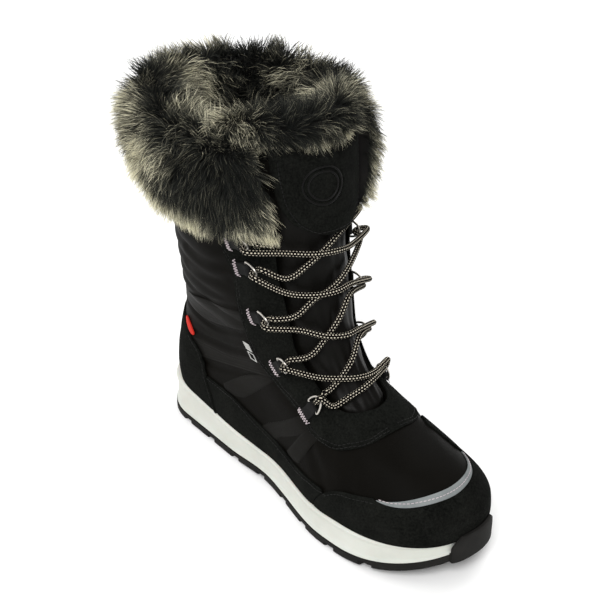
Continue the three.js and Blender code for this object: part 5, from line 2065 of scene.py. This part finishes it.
@dataclass
class Fur:
    """Deep fur: a dark backing with locks of pile planted on it."""

    depth: float = 24.0
    top: float = 16.0
    lining: float = 12.0
    end: float = 0.368
    slant: float = 0.030
    clear: float = 1.2
    spans: int = 120
    backing: float = 0.50
    variants: int = 7
    strands: int = 17
    tones: tuple[float, ...] = (0.0, 0.25, 0.6, 1.0)
    tone_chances: tuple[float, ...] = (0.34, 0.22, 0.22, 0.22)
    length: float = 24.0
    most_locks: float = 4e5
    patch_size: float = 24.0
    # level rise out lining clear reach comb(out, up) pale long
    section: tuple[tuple[float, ...], ...] = (
        (0.835, 0.00, 0.00, 0.0, 1, 1.0, 0.7, -1.0, 0.95, 0.50),
        (0.825, 0.00, 0.50, 0.0, 0, 1.0, 0.8, -0.9, 0.95, 0.58),
        (0.865, 0.00, 0.90, 0.0, 0, 0.9, 0.8, -0.8, 0.62, 0.80),
        (0.920, 0.00, 1.00, 0.0, 0, 0.6, 0.8, -0.6, 0.05, 0.95),
        (0.980, 0.00, 0.98, 0.0, 0, 0.4, 0.9, -0.2, 0.12, 1.00),
        (1.000, 0.45, 0.80, 0.0, 0, 0.2, 0.9, 0.3, 0.22, 1.00),
        (1.000, 0.85, 0.40, 0.0, 0, 0.1, 0.6, 0.9, 0.28, 1.00),
        (1.000, 1.00, -0.05, 0.0, 0, 0.0, -0.2, 1.0, 0.25, 1.05),
        (1.000, 0.75, 0.00, 0.8, 0, 0.0, -0.9, 0.7, 0.35, 1.30),
        (0.950, 0.00, 0.00, 1.0, 0, 0.0, -1.0, 0.4, 0.30, 1.35),
        (0.890, 0.00, 0.00, 0.7, 0, 0.0, -0.9, 0.0, 0.20, 1.20),
        (0.870, 0.00, 0.00, 0.0, -1, 0.0, -0.4, -0.6, 0.0, 0.80),
    )
    roll_size: tuple[float, float, float] = (92.0, 26.0, 25.0)
    roll_core: float = 0.62
    roll_foot: float = 261.0
    # share of the roll's depth, share of its height
    roll_section: tuple[tuple[float, float], ...] = (
        *((-0.50, 0.0), (0.42, 0.0), (0.62, 0.3), (0.58, 0.62)),
        *((0.3, 0.92), (-0.1, 1.0), (-0.45, 0.8), (-0.6, 0.4)),
    )
    # turn, change of paleness
    flow: tuple[tuple[float, float], ...] = (
        (-0.40, 0.55),
        (-0.34, 0.30),
        (-0.28, -0.05),
        (-0.15, 0.05),
        (0.00, 0.15),
        (0.10, 0.25),
        (0.16, 0.60),
        (0.215, 0.58),
        (0.25, 0.05),
        (0.30, -0.15),
        (0.345, -0.05),
        (0.40, 0.40),
    )

    def __post_init__(self) -> None:
        """Makes the locks and the tree that plants them."""
        self.tree = PileRule().tree()
        self.locks = bpy.data.collections.new("locks")
        rng = np.random.default_rng(SEED)
        for number in range(self.variants):
            self.locks.objects.link(self.lock(number, rng))

    def lock(self, number: int, rng: np.random.Generator) -> Object:
        """One lock of strands that lean together towards their tips.

        Args:
            number: Number of the lock.
            rng: What varies its strands.

        Returns:
            The lock, standing on the origin.
        """
        points, faces, tips, tones = [], [], [], []
        shares = np.array([0.0, 0.38, 0.72, 1.0])
        bend = rng.uniform(3.0, 8.0)
        gather = rng.uniform(0.15, 0.6)
        for _ in range(self.strands):
            root = rng.normal(0, 1.7, 2)
            length = self.length * rng.uniform(0.62, 1.0)
            wobble = rng.normal(0, 1.3, 2)
            facing = rng.uniform(0, np.pi)
            width = np.array([0.42, 0.40, 0.26, 0.0]) * rng.uniform(0.8, 1.2)
            spread = (1 + 0.6 * shares) * (1 - gather * shares)
            x = root[0] * spread + bend * shares**2 + wobble[0] * np.sin(shares * 2.4)
            y = root[1] * spread + wobble[1] * np.sin(shares * 2.1)
            z = length * (shares - 0.10 * shares**3) - 2.5
            across = np.stack([np.cos(facing) * width, np.sin(facing) * width, 0 * width], axis=1) / 2
            middle = np.stack([x, y, z], axis=1)
            base = len(points)
            for k in range(3):
                points += [middle[k] - across[k], middle[k] + across[k]]
            points.append(middle[3])
            faces += [[base, base + 1, base + 3, base + 2], [base + 2, base + 3, base + 5, base + 4]]
            faces.append([base + 4, base + 5, base + 6])
            tips += [*np.repeat(shares[:3], 2), shares[3]]
            tones += [float(rng.choice(self.tones, p=self.tone_chances))] * 7
        mesh = bpy.data.meshes.new(f"lock_{number}")
        mesh.from_pydata((np.array(points) * MM).tolist(), [], faces)
        for name, values in (("tip", tips), ("tone", tones)):
            numbers = mesh.attributes.new(name, "FLOAT", "POINT")
            numbers.data.foreach_set("value", np.array(values, np.float32))
        mesh.polygons.foreach_set("use_smooth", np.ones(len(mesh.polygons), bool))
        return bpy.data.objects.new(f"lock_{number}", mesh)

    def cuff_point(self, columns: Array, turn: Array, swell: Array, scale: float) -> Array:
        """Points of the cuff's section, drawn in towards the shaft.

        Args:
            columns: The section's columns at each place.
            turn: Places round the boot.
            swell: Share of the depth.
            scale: Share of the fur's depth that the backing takes.

        Returns:
            Points in the last's frame.
        """
        level, rise, out, lining, clear = columns[:5]
        gap = np.where(clear > 0, self.clear, np.where(clear < 0, -LAST.wall - self.clear, 0))
        inward = np.where(lining > 0, LAST.wall + lining * self.lining * scale, 0)
        point = LAST.at(turn, level, out * self.depth * swell * scale + gap - inward)
        point[..., 2] += rise * self.top * scale
        return point

    def rings(self) -> tuple[Array, Array, Array, Array]:
        """The backing's rings with the pile's comb ways, paleness and length.

        Returns:
            Points, comb ways, paleness and length of the pile.
        """
        rows = np.array(self.section)
        shares = np.linspace(0, 1, 61)
        knots = np.linspace(0, 1, len(rows))
        fine = np.stack([np.interp(shares, knots, rows[:, k]) for k in range(rows.shape[1])], axis=1)
        ends = self.end + self.slant * fine[None, :, 5]
        turns = (1 - 2 * np.linspace(0, 1, self.spans + 1))[:, None] * ends
        swell = 1 + 0.10 * np.sin(np.linspace(0, 1, self.spans + 1) * 40)[:, None] * np.ones_like(turns)
        columns = [np.broadcast_to(fine[:, k], turns.shape) for k in range(10)]
        points = self.cuff_point(columns, turns, swell, self.backing)
        normals = LAST.normal(turns, columns[0])
        comb = normals * columns[6][..., None]
        comb[..., 2] += columns[7]
        near_front = np.clip((np.abs(turns) - 0.30) / 0.06, 0, 1)
        ahead = LAST.surface(turns + 0.01 * np.sign(turns), columns[0]) - LAST.surface(turns, columns[0])
        ahead /= np.linalg.norm(ahead, axis=-1, keepdims=True) + 1e-9
        comb += ahead * (0.75 * near_front * (columns[6] > 0))[..., None]
        comb[..., 0] += 0.15
        places, changes = np.array(self.flow).T
        outer_rows = 0.25 + 0.75 * np.clip((columns[2] - 0.35) / 0.3, 0, 1)
        pale = columns[8] + monotone(places, changes, turns) * outer_rows
        long = columns[9] * (1 - 0.25 * near_front * (columns[6] > 0))
        return points, comb, pale, long

    def dress(
        self, name: str, base: Object, spacing: float, seed: int, sizes: tuple[float, float], ruffle: float
    ) -> None:
        """Plants pile on a base mesh.

        Args:
            name: Name of the piece.
            base: Mesh that carries the pile.
            spacing: Least distance between locks.
            seed: Seed of the draw.
            sizes: Smallest and largest lock.
            ruffle: How far locks leave their comb way.
        """
        values = {
            "Spacing": spacing * MM,
            "Density": self.most_locks,
            "Locks": self.locks,
            "Count": self.variants - 1,
            "Ruffle": ruffle,
            "Patch Size": self.patch_size,
            "Smallest": sizes[0],
            "Largest": sizes[1],
            "Seed": seed,
            "Material": PILE.material(),
        }
        finished(self.tree.run(base, name, values), PILE)

    @staticmethod
    def planted(name: str, points: Array, faces: Array, comb: Array, pale: Array, long: Array) -> Object:
        """Mesh that carries the comb ways, the paleness and the length of the pile.

        Args:
            name: Name of the mesh.
            points: Corners in the last's frame.
            faces: Corner numbers of each face.
            comb: Comb way at each corner.
            pale: Paleness at each corner.
            long: Length of the pile at each corner.

        Returns:
            The mesh's object.
        """
        obj = make_mesh(name, LAST.to_row(points), faces.tolist(), 80)
        mesh = obj.data
        ways = mesh.attributes.new("comb", "FLOAT_VECTOR", "POINT")
        ways.data.foreach_set("vector", comb.astype(np.float32).ravel())
        for key, values in (("pale", pale), ("long", long)):
            numbers = mesh.attributes.new(key, "FLOAT", "POINT")
            numbers.data.foreach_set("value", values.astype(np.float32).ravel())
        return obj

    def cuff(self) -> None:
        """Makes the cuff: its backing, and outer and inner pile."""
        points, comb, pale, long = self.rings()
        backing_points, backing_faces = rings_mesh(points)
        backing = make_mesh("collar_fur_backing", LAST.to_row(backing_points), backing_faces, 80)
        weld(backing)
        finished(backing, UNDERFUR, ["collar_fur"])
        halves = (
            ("collar_fur_outer", slice(0, 33), 3.15, (0.86, 1.22)),
            ("collar_fur_inner", slice(30, 61), 4.25, (0.76, 1.10)),
        )
        for number, (name, part, spacing, sizes) in enumerate(halves):
            some, ways, tones, lengths = points[:, part], comb[:, part], pale[:, part], long[:, part]
            faces = lattice_faces(*some.shape[:2])
            carried = (ways.reshape(-1, 3), tones.ravel(), lengths.ravel())
            for seed in (0, 1):
                base = self.planted(name + "_base", some.reshape(-1, 3), faces, *carried)
                self.dress(f"{name}_{seed + 1}", base, spacing, SEED + number * 10 + seed, sizes, 1.9)

    def roll(self, flap: Flap) -> None:
        """Makes the fur over the tongue's top.

        Args:
            flap: The flap that it lies behind.
        """
        width, height, depth = self.roll_size
        fine = smooth_path(np.array(self.roll_section), 0.09, closed=True)
        places = np.linspace(-1, 1, 61)
        swell = (0.55 + 0.45 * np.sqrt(1 - 0.9 * places**2))[:, None]
        y = np.broadcast_to((flap.middle + places * width / 2)[:, None], (61, len(fine)))
        wing = np.clip((np.abs(places[:, None]) - 0.5) / 0.5, 0, 1)
        middle = flap.front(flap.middle + np.clip(y - flap.middle, -33, 33)) - 0.62 * depth - 20.0 * wing**1.5
        x = middle + fine[None, :, 0] * depth * swell * self.roll_core
        z = self.roll_foot + fine[None, :, 1] * self.roll_core * height * (0.5 + 0.5 * swell) - 3.0 * wing
        points = np.stack([x, y, z], axis=-1)
        backing_points, backing_faces = rings_mesh(points)
        backing = make_mesh("tongue_fur_backing", LAST.to_row(backing_points), backing_faces, 80)
        weld(backing)
        finished(backing, UNDERFUR, ["tongue_fur"])
        ways = (0.25 + 1.2 * fine[None, :, 0], 0.8 * places[:, None] ** 3, 1.3 * (fine[None, :, 1] - 0.42))
        comb = np.stack([np.broadcast_to(way, y.shape) for way in ways], axis=-1)
        low = np.clip((0.34 - fine[None, :, 1]) / 0.12, 0, 1)
        pale = 0.08 + 0.75 * low + 0.35 * np.clip((-0.80 - places[:, None]) / 0.12, 0, 1)
        long = 0.95 - 0.45 * low + 0 * y
        closed = np.concatenate([points, points[:, :1]], axis=1)
        faces = lattice_faces(*closed.shape[:2])
        comb, pale, long = (np.concatenate([rows, rows[:, :1]], axis=1) for rows in (comb, pale, long))
        carried = (comb.reshape(-1, 3), pale.ravel(), long.ravel())
        for seed in (0, 1):
            base = self.planted("tongue_fur_base", closed.reshape(-1, 3), faces, *carried)
            self.dress(f"tongue_fur_pile_{seed + 1}", base, 3.0, SEED + 40 + seed, (0.66, 1.0), 1.3)


# Lacing


@dataclass
class Lacing:
    """Metal rings in webbing tabs, and the cord that crosses between them."""

    # turn and level of each pair of rings, from the top
    places: tuple[tuple[float, float], ...] = (
        (0.335, 0.788),
        (0.340, 0.710),
        (0.336, 0.558),
        (0.332, 0.415),
        (0.350, 0.312),
    )
    wire: float = 1.6
    ring_width: float = 12.8
    ring_reach: float = 10.0
    tilt: float = 28.0
    webbing: float = 1.1
    tab_width: float = 8.4
    tab_length: float = 11.0
    cord: float = 3.8
    gap: float = 0.3
    overlay: float = 1.3
    sink: float = 0.2
    rest: float = 1.3
    join: float = 0.6
    tack_steps: int = 14
    tack_width: float = 12.5
    tack_inset: float = 1.4
    tack_reach: float = 1.1

    def frame_of(self, pair: int, side: int, tilted: bool) -> tuple[Array, Array, Array, Array]:
        """Bar centre, the way to the throat, the way along the eyestay and the way out of one ring.

        Args:
            pair: Number of the pair of rings, from the top.
            side: Side of the foot, as the sign of Y.
            tilted: Whether the ways follow the ring's tilt.

        Returns:
            The centre and the three ways.
        """
        turns = [t if side < 0 else 1 - t for t, _ in self.places]
        levels = [level for _, level in self.places]
        spots = LAST.at(np.array(turns), np.array(levels), 0)
        above, below = max(pair - 1, 0), min(pair + 1, len(self.places) - 1)
        out = LAST.normal(np.array([turns[pair]]), np.array([levels[pair]]))[0]
        edge = spots[above] - spots[below]
        edge -= out * edge.dot(out)
        edge /= np.linalg.norm(edge)
        inward = np.cross(out, edge) * side
        eye = (self.wire / 2 + self.gap) * math.sqrt(2)
        centre = spots[pair] + out * (self.gap + self.overlay - self.sink + self.webbing + eye)
        if tilted:
            angle = math.radians(self.tilt)
            turned = inward * math.cos(angle) + out * math.sin(angle)
            out = out * math.cos(angle) - inward * math.sin(angle)
            inward = turned
        return centre, inward, edge, out

    def ring(self, pair: int, side: int) -> Solid:
        """One ring: a straight bar and a round bow.

        Args:
            pair: Number of the pair of rings, from the top.
            side: Side of the foot, as the sign of Y.

        Returns:
            The points in metres and the faces.
        """
        centre, inward, edge, _ = self.frame_of(pair, side, True)
        half = (self.ring_width - self.wire) / 2
        angle = np.linspace(0.06, np.pi - 0.06, 26)
        bow = np.stack([self.ring_reach * np.sin(angle), -half * np.cos(angle)], axis=1)
        bar = np.stack([np.zeros(7), np.linspace(half * 0.9, -half * 0.9, 7)], axis=1)
        flat = np.vstack([bow, bar])
        path = centre + flat[:, :1] * inward + flat[:, 1:] * edge
        rings, _ = tube(smooth_path(path, 0.5, closed=True), self.wire / 2, 10, closed=True)
        points, faces = rings_mesh(np.concatenate([rings, rings[:1]]), cap=False)
        return LAST.to_row(points), faces

    def tab(self, pair: int, side: int) -> Solid:
        """One webbing tab, looped round the ring's bar and sewn down behind it.

        Args:
            pair: Number of the pair of rings, from the top.
            side: Side of the foot, as the sign of Y.

        Returns:
            The points in metres and the faces.
        """
        centre, inward, edge, out = self.frame_of(pair, side, False)
        crown = self.wire / 2 + self.gap + self.webbing
        foot = -(self.wire / 2 + self.gap) * math.sqrt(2) - self.webbing
        arc = np.linspace(-np.pi / 2, np.pi * 0.62, 16)
        deep = [-foot if math.sin(a) < 0 else crown for a in arc]
        loop = [(crown * math.cos(a), d * math.sin(a)) for a, d in zip(arc, deep)]
        tail = [(-crown * 1.8, foot + 2.1 * self.webbing), (-self.tab_length * 0.7, foot + 1.5 * self.webbing)]
        end = (-self.tab_length, foot + 0.9 * self.webbing)
        profile = np.array([(-self.tab_length, foot), *loop, *tail, end])
        width = self.tab_width / 2
        shares = (-1.0, -0.94, 0.94, 1.0)
        rows = []
        for share in shares:
            pinch = 0.88 if abs(share) == 1 else 1.0
            spot = np.array([-self.tab_length / 2, foot + self.webbing])
            flat = spot + (profile - spot) * [1.0, pinch]
            rows.append(centre + flat[:, :1] * inward + flat[:, 1:] * out + edge * share * width)
        points, faces = rings_mesh(np.array(rows))
        return LAST.to_row(points), faces

    def ring_turn(self, pair: int, side: int) -> Array:
        """Way of the cord through a ring, from above it to below it.

        Args:
            pair: Number of the pair of rings, from the top.
            side: Side of the foot, as the sign of Y.

        Returns:
            Points of the cord's centreline.
        """
        centre, inward, edge, out = self.frame_of(pair, side, True)
        clear = (self.wire / 2 + self.gap + self.cord / 2) / math.cos(math.pi / 8)
        reach, way = self.ring_reach, 1 if side < 0 else -1
        rows = [
            (reach + 4, -1.6 * way, clear),
            (reach, -1.2 * way, clear),
            (reach - 0.7 * clear, -0.6 * way, 0.7 * clear),
            (reach - clear, 0, 0),
            (reach - 0.7 * clear, 0.6 * way, -0.7 * clear),
            (reach, 1.2 * way, -clear),
            (reach + 4, 1.6 * way, -clear),
        ]
        return np.array([centre + a * inward + b * edge + c * out for a, b, c in rows])

    def routes(self) -> tuple[Array, Array]:
        """Centrelines of the two strands, as in the solids.

        Returns:
            The rising strand and the crossing one.
        """
        low = self.cord / 2 + self.rest
        high = low + self.cord - self.join
        bar = [(0.395, 0.342, 6), (0.435, 0.377, 5), (0.480, 0.398, 5), (0.525, 0.405, 5)]
        under = [
            [(0.405, 0.390, 5), (0.440, 0.425, low), (0.490, 0.468, low), (0.540, 0.505, low)],
            [(0.400, 0.480, 5), (0.450, 0.535, low), (0.490, 0.575, low), (0.535, 0.618, low)],
            [(0.402, 0.592, 5), (0.445, 0.640, low), (0.490, 0.664, low), (0.540, 0.688, low)],
            [(0.405, 0.705, 5), (0.445, 0.742, low), (0.485, 0.780, low), (0.525, 0.808, low)],
        ]
        over = [
            [(0.530, 0.417, 5), (0.480, 0.425, high), (0.440, 0.428, high), (0.400, 0.425, high)],
            [(0.535, 0.526, 5), (0.490, 0.532, high), (0.450, 0.540, high), (0.405, 0.556, high)],
            [(0.535, 0.650, 5), (0.490, 0.655, high), (0.445, 0.657, high), (0.400, 0.663, high)],
            [(0.550, 0.752, 5), (0.505, 0.768, high), (0.460, 0.776, high), (0.405, 0.784, high)],
        ]

        def routed(rows: Sequence[tuple[float, float, float]]) -> Array:
            """Points of rows of turn, level and out."""
            turn, level, out = np.array(rows, float).T
            return LAST.at(turn, level, out)

        last = len(self.places) - 1
        start = routed(bar)
        rising = [start[1:2], start[0:1]]
        crossing = [start[1:]]
        for pair in range(last, 0, -1):
            leg = last - pair
            outer, inner = (rising, crossing) if leg % 2 == 0 else (crossing, rising)
            outer += [self.ring_turn(pair, -1), routed(under[leg])]
            inner += [self.ring_turn(pair, 1)[::-1], routed(over[leg])]
        rising += [self.ring_turn(0, -1), routed([(0.392, 0.800, 5)])]
        crossing += [self.ring_turn(0, 1)[::-1]]
        return np.vstack(rising), np.vstack(crossing)

    def strand(self, route: Array) -> tuple[Array, Faces, Array]:
        """Mesh of one strand and the map of its corners in millimetres along and turns round.

        Args:
            route: Points of the centreline.

        Returns:
            The points in metres, the faces and the map.
        """
        sides = 12
        path = smooth_path(route, 0.8)
        for _ in range(3):
            path[1:-1] = path[1:-1] * 0.5 + (path[:-2] + path[2:]) * 0.25
        rings, _ = tube(path, self.cord / 2, sides)
        run = np.concatenate([[0], np.cumsum(np.linalg.norm(np.diff(path, axis=0), axis=1))])
        points, faces = rings_mesh(rings)
        uvs = []
        count = (len(path) - 1) * sides
        for i in range(count):
            row, column = divmod(i, sides)
            low, high = column / sides, (column + 1) / sides
            uvs += [(run[row], low), (run[row], high), (run[row + 1], high), (run[row + 1], low)]
        uvs += [(0.0, 0.0)] * (3 * (len(faces) - count))
        return LAST.to_row(points), faces, np.array(uvs)

    def build(self) -> None:
        """Makes rings, tabs and cord."""
        for word, side in (("lateral", -1), ("medial", 1)):
            for pair in range(len(self.places)):
                obj = joined(f"wire_ring_{word}_{pair + 1}", [self.ring(pair, side)], 60)
                weld(obj)
                finished(obj, METAL, [f"ring_{word}_{pair + 1}"])
        lots = [self.tab(pair, side) for pair in range(len(self.places)) for side in (-1, 1)]
        tabs = joined("ring_tabs_webbing", lots, 50)
        weld(tabs, 1e-7)
        finished(tabs, WEBBING)
        first, second = (self.strand(route) for route in self.routes())
        lots = [(first[0], first[1]), (second[0], second[1])]
        obj = joined("laces_cord", lots, 60)
        layer = obj.data.uv_layers.new(name="UVMap")
        layer.data.foreach_set("uv", np.vstack([first[2], second[2]]).astype(np.float32).ravel())
        finished(obj, BRAID, ["laces"])

    def bar_tacks(self, stitching: Stitching) -> None:
        """Sews the pale zigzag behind each tab.

        Args:
            stitching: What sews the rows.
        """
        paths = []
        for pair in range(len(self.places)):
            for side in (-1, 1):
                centre, inward, edge, out = self.frame_of(pair, side, False)
                steps = np.arange(self.tack_steps + 1)
                along = (steps / self.tack_steps - 0.5) * self.tack_width
                back = -self.tab_length + self.tack_inset + self.tack_reach * (-1.0) ** steps
                foot = -(self.wire / 2 + self.gap) * math.sqrt(2) - self.webbing
                on_tab = np.clip((self.tab_width / 2 + 0.9 - np.abs(along)) / 0.8, 0, 1)
                lift = foot + self.sink + 0.25 + 1.0 * self.webbing * on_tab
                path = centre + np.outer(back, inward) + np.outer(along, edge) + np.outer(lift, out)
                shares = np.linspace(0, 1, 4, endpoint=False)[:, None]
                paths.append(np.vstack([a + (b - a) * shares for a, b in zip(path[:-1], path[1:])]))
        stitching.sew("bar_tacks", paths, PALE_THREAD, 0.62, 0.9, 0.3)


# Seams and prints


@dataclass
class Trim:
    """Seams, piping and print."""

    overlays: Overlays
    seam_out: float = 1.62
    # turn and level of the print's ends, and half its width in turns
    print_start: tuple[float, float] = (0.2695, 0.4190)
    print_end: tuple[float, float] = (0.2690, 0.3610)
    print_half_width: float = 0.0052
    print_out: tuple[float, float] = (1.86, 1.5)
    # share along from, share along to, share across from, share across to
    print_box: tuple[tuple[float, float, float, float], ...] = (
        (0.56, 0.98, -1.0, -0.84),
        (0.56, 0.98, 0.84, 1.0),
        (0.56, 0.585, -1.0, 1.0),
        (0.955, 0.98, -1.0, 1.0),
    )

    @staticmethod
    def on_side(rows: Array, side: Side, out: float, turns: tuple[float, float] = (0.02, 0.48)) -> Array:
        """Path on the last that is seen from the side as the given one.

        Args:
            rows: Places along and up the boot.
            side: Side that is seen.
            out: Distance from the last's surface.
            turns: Places that may be met.

        Returns:
            Points in the last's frame.
        """
        grid_turns = np.linspace(*turns, 260)
        levels = np.linspace(0, 1, 500)
        turn, level = np.meshgrid(grid_turns if side is Side.OUTER else 1 - grid_turns, levels)
        cloud = LAST.at(turn.ravel(), level.ravel(), out)
        return np.array([cloud[np.argmin((cloud[:, 0] - x) ** 2 + (cloud[:, 2] - z) ** 2)] for x, z in rows])

    def inset(self, outline: Array, by: float) -> Array:
        """Open path beside another, on its right hand.

        Args:
            outline: Points of the path.
            by: How far it is moved.

        Returns:
            The moved path.
        """
        heading = np.gradient(outline, axis=0)
        heading /= np.linalg.norm(heading, axis=1, keepdims=True)
        return outline + np.stack([heading[:, 1], -heading[:, 0]], axis=1) * by

    def build(self, stitching: Stitching) -> None:
        """Sews the seams, lays the piping and prints the mark's stand-in.

        Args:
            stitching: What sews the rows.
        """
        o = self.overlays
        seams = []
        edge = smooth_path(share_rows(o.eyestay_edge[2:14], LAST.collar_front), 4.0)
        rand = smooth_path(share_rows(o.rand_outer, LAST.instep), 4.0)
        cap = smooth_path(share_rows(o.cap_outer, LAST.instep), 4.0)
        front = smooth_path(share_rows(o.counter_front[:-1], LAST.instep), 4.0)
        for side in Side:
            for by in (-2.0, -4.0):
                seams.append(smooth_path(self.on_side(self.inset(edge, by), side, self.seam_out), 1.0))
            seams.append(smooth_path(self.on_side(self.inset(front, 2.4), side, self.seam_out), 1.0))
        for outline in (rand, cap):
            seams.append(smooth_path(self.on_side(self.inset(outline, 2.0), Side.OUTER, self.seam_out), 1.0))
        stitching.sew("suede_stitches", seams, THREAD)
        ring = self.crescent_line()
        stitching.sew("reflector_stitches", [ring], PALE_THREAD, 2.6, 1.8, 0.24)
        pipes = []
        for side in Side:
            path = smooth_path(self.on_side(front, side, 1.5), 1.2)
            rings, _ = tube(path, 1.0, 10)
            points, faces = rings_mesh(rings)
            pipes.append((LAST.to_row(points), faces))
        piping = joined("counter_piping", pipes, 60)
        weld(piping, 1e-7)
        finished(piping, SUEDE)
        self.print_marks()

    def crescent_line(self) -> Array:
        """Path along the middle of the pale crescent.

        Returns:
            Points of the path.
        """
        turn, level = np.meshgrid(np.linspace(0.36, 0.64, 240), np.linspace(0.06, 0.22, 160))
        cloud = LAST.at(turn.ravel(), level.ravel(), 1.22)
        outer = self.overlays.mouth(1.9)[6:-8]
        rows = outer[outer[:, 0] > self.overlays.nose + 3]
        path = np.array([cloud[np.argmin(((cloud[:, :2] - p) ** 2).sum(1))] for p in rows])
        return smooth_path(path[::3], 0.8)

    def print_marks(self) -> None:
        """Prints plain bars and an outlined box on the eyestay's outer side."""
        start, end = np.array(self.print_start), np.array(self.print_end)
        lots = []

        def patch(a: float, b: float, c: float, d: float) -> None:
            """Adds one raised patch between shares along and across the print.

            Args:
                a: Share along where it starts.
                b: Share along where it ends.
                c: Share across where it starts.
                d: Share across where it ends.
            """
            s, w = np.meshgrid(np.linspace(a, b, 5), np.linspace(c, d, 4))
            along = start + (end - start) * s.ravel()[:, None]
            turns = along[:, 0] + w.ravel() * self.print_half_width
            top, bottom = (LAST.at(turns, along[:, 1], out) for out in self.print_out)
            points, faces = thickened(top, bottom, lattice_faces(4, 5).tolist())
            lots.append((LAST.to_row(points), faces))

        for k in range(5):
            patch(0.02 + 0.09 * k, 0.065 + 0.09 * k, -1.0, 1.0)
        for frame_side in self.print_box:
            patch(*frame_side)
        obj = joined("plain_print", lots, 40)
        weld(obj, 1e-7)
        finished(obj, PRINT)


# Stage


@dataclass
class Stage:
    """Floor, light and camera."""

    azimuth: float = 50.83
    elevation: float = 32.41
    distance: float = 0.970
    target: tuple[float, float, float] = (-60.34, 34.63, 100.0)
    lens: float = 81.48
    sensor: float = 36.0
    floor_half: float = 9.0
    glow: float = 0.62
    # name, place in metres, size in metres, power in watts
    lamps: tuple[tuple[str, tuple[float, float, float], float, float], ...] = (
        ("key", (0.9, -1.2, 1.7), 1.0, 34.0),
        ("fill", (-1.5, -0.8, 1.3), 1.6, 14.0),
        ("rim", (-0.6, 1.5, 1.6), 1.4, 20.0),
    )

    def camera(self) -> None:
        """Places the camera as the photograph's."""
        data = bpy.data.cameras.new("camera")
        data.lens, data.sensor_width = self.lens, self.sensor
        data.clip_start, data.clip_end = 0.05, 50
        obj = bpy.data.objects.new("camera", data)
        bpy.context.scene.collection.objects.link(obj)
        a, e = math.radians(self.azimuth), math.radians(self.elevation)
        back = Vector((math.sin(a) * math.cos(e), -math.cos(a) * math.cos(e), math.sin(e)))
        obj.location = Vector(LAST.to_row(np.array(self.target))) + back * self.distance
        obj.rotation_mode = "QUATERNION"
        obj.rotation_quaternion = (-back).to_track_quat("-Z", "Y")
        bpy.context.scene.camera = obj

    def floor(self) -> None:
        """Lays a plain pale floor."""
        corners = np.array([(-1, -1, 0), (1, -1, 0), (1, 1, 0), (-1, 1, 0)], float) * self.floor_half
        obj = make_mesh("floor", corners, [[0, 1, 2, 3]])
        paint = Paint("pale_floor")
        paint.set(Base_Color=(0.97, 0.97, 0.965, 1), Roughness=0.9, Specular_IOR_Level=0.1)
        obj.data.materials.append(paint.material)

    def lamp(self, name: str, place: tuple[float, float, float], size: float, power: float) -> None:
        """Hangs a soft square lamp that looks at the boot.

        Args:
            name: Name of the lamp.
            place: Its place in metres.
            size: Length of its side in metres.
            power: Its power in watts.
        """
        data = bpy.data.lights.new(name, "AREA")
        data.shape, data.size, data.energy = "SQUARE", size, power
        obj = bpy.data.objects.new(name, data)
        obj.location = place
        obj.rotation_mode = "QUATERNION"
        obj.rotation_quaternion = (Vector((0, 0, 0.12)) - Vector(place)).to_track_quat("-Z", "Y")
        bpy.context.scene.collection.objects.link(obj)

    def build(self) -> None:
        """Makes camera, floor, lamps and the pale surroundings."""
        self.camera()
        self.floor()
        for lamp in self.lamps:
            self.lamp(*lamp)
        world = bpy.data.worlds.new("studio")
        world.use_nodes = True
        background = world.node_tree.nodes["Background"]
        background.inputs["Color"].default_value = (1, 1, 1, 1)
        background.inputs["Strength"].default_value = self.glow
        bpy.context.scene.world = world
        bpy.context.scene.view_settings.view_transform = "Standard"


def main() -> None:
    """Builds the boot piece by piece."""
    logging.basicConfig(level=logging.INFO, format="%(relativeCreated)6.0f ms %(name)s: %(message)s")
    Stage().build()
    stitching = Stitching()
    overlays = Overlays()
    Sole().build()
    Upper().build()
    overlays.build()
    SmoothBands().build()
    HeelTag().build()
    Tongue().build()
    flap = Flap()
    flap.build(stitching)
    lacing = Lacing()
    lacing.build()
    lacing.bar_tacks(stitching)
    Trim(overlays).build(stitching)
    fur = Fur()
    fur.cuff()
    fur.roll(flap)


if __name__ == "__main__":
    main()
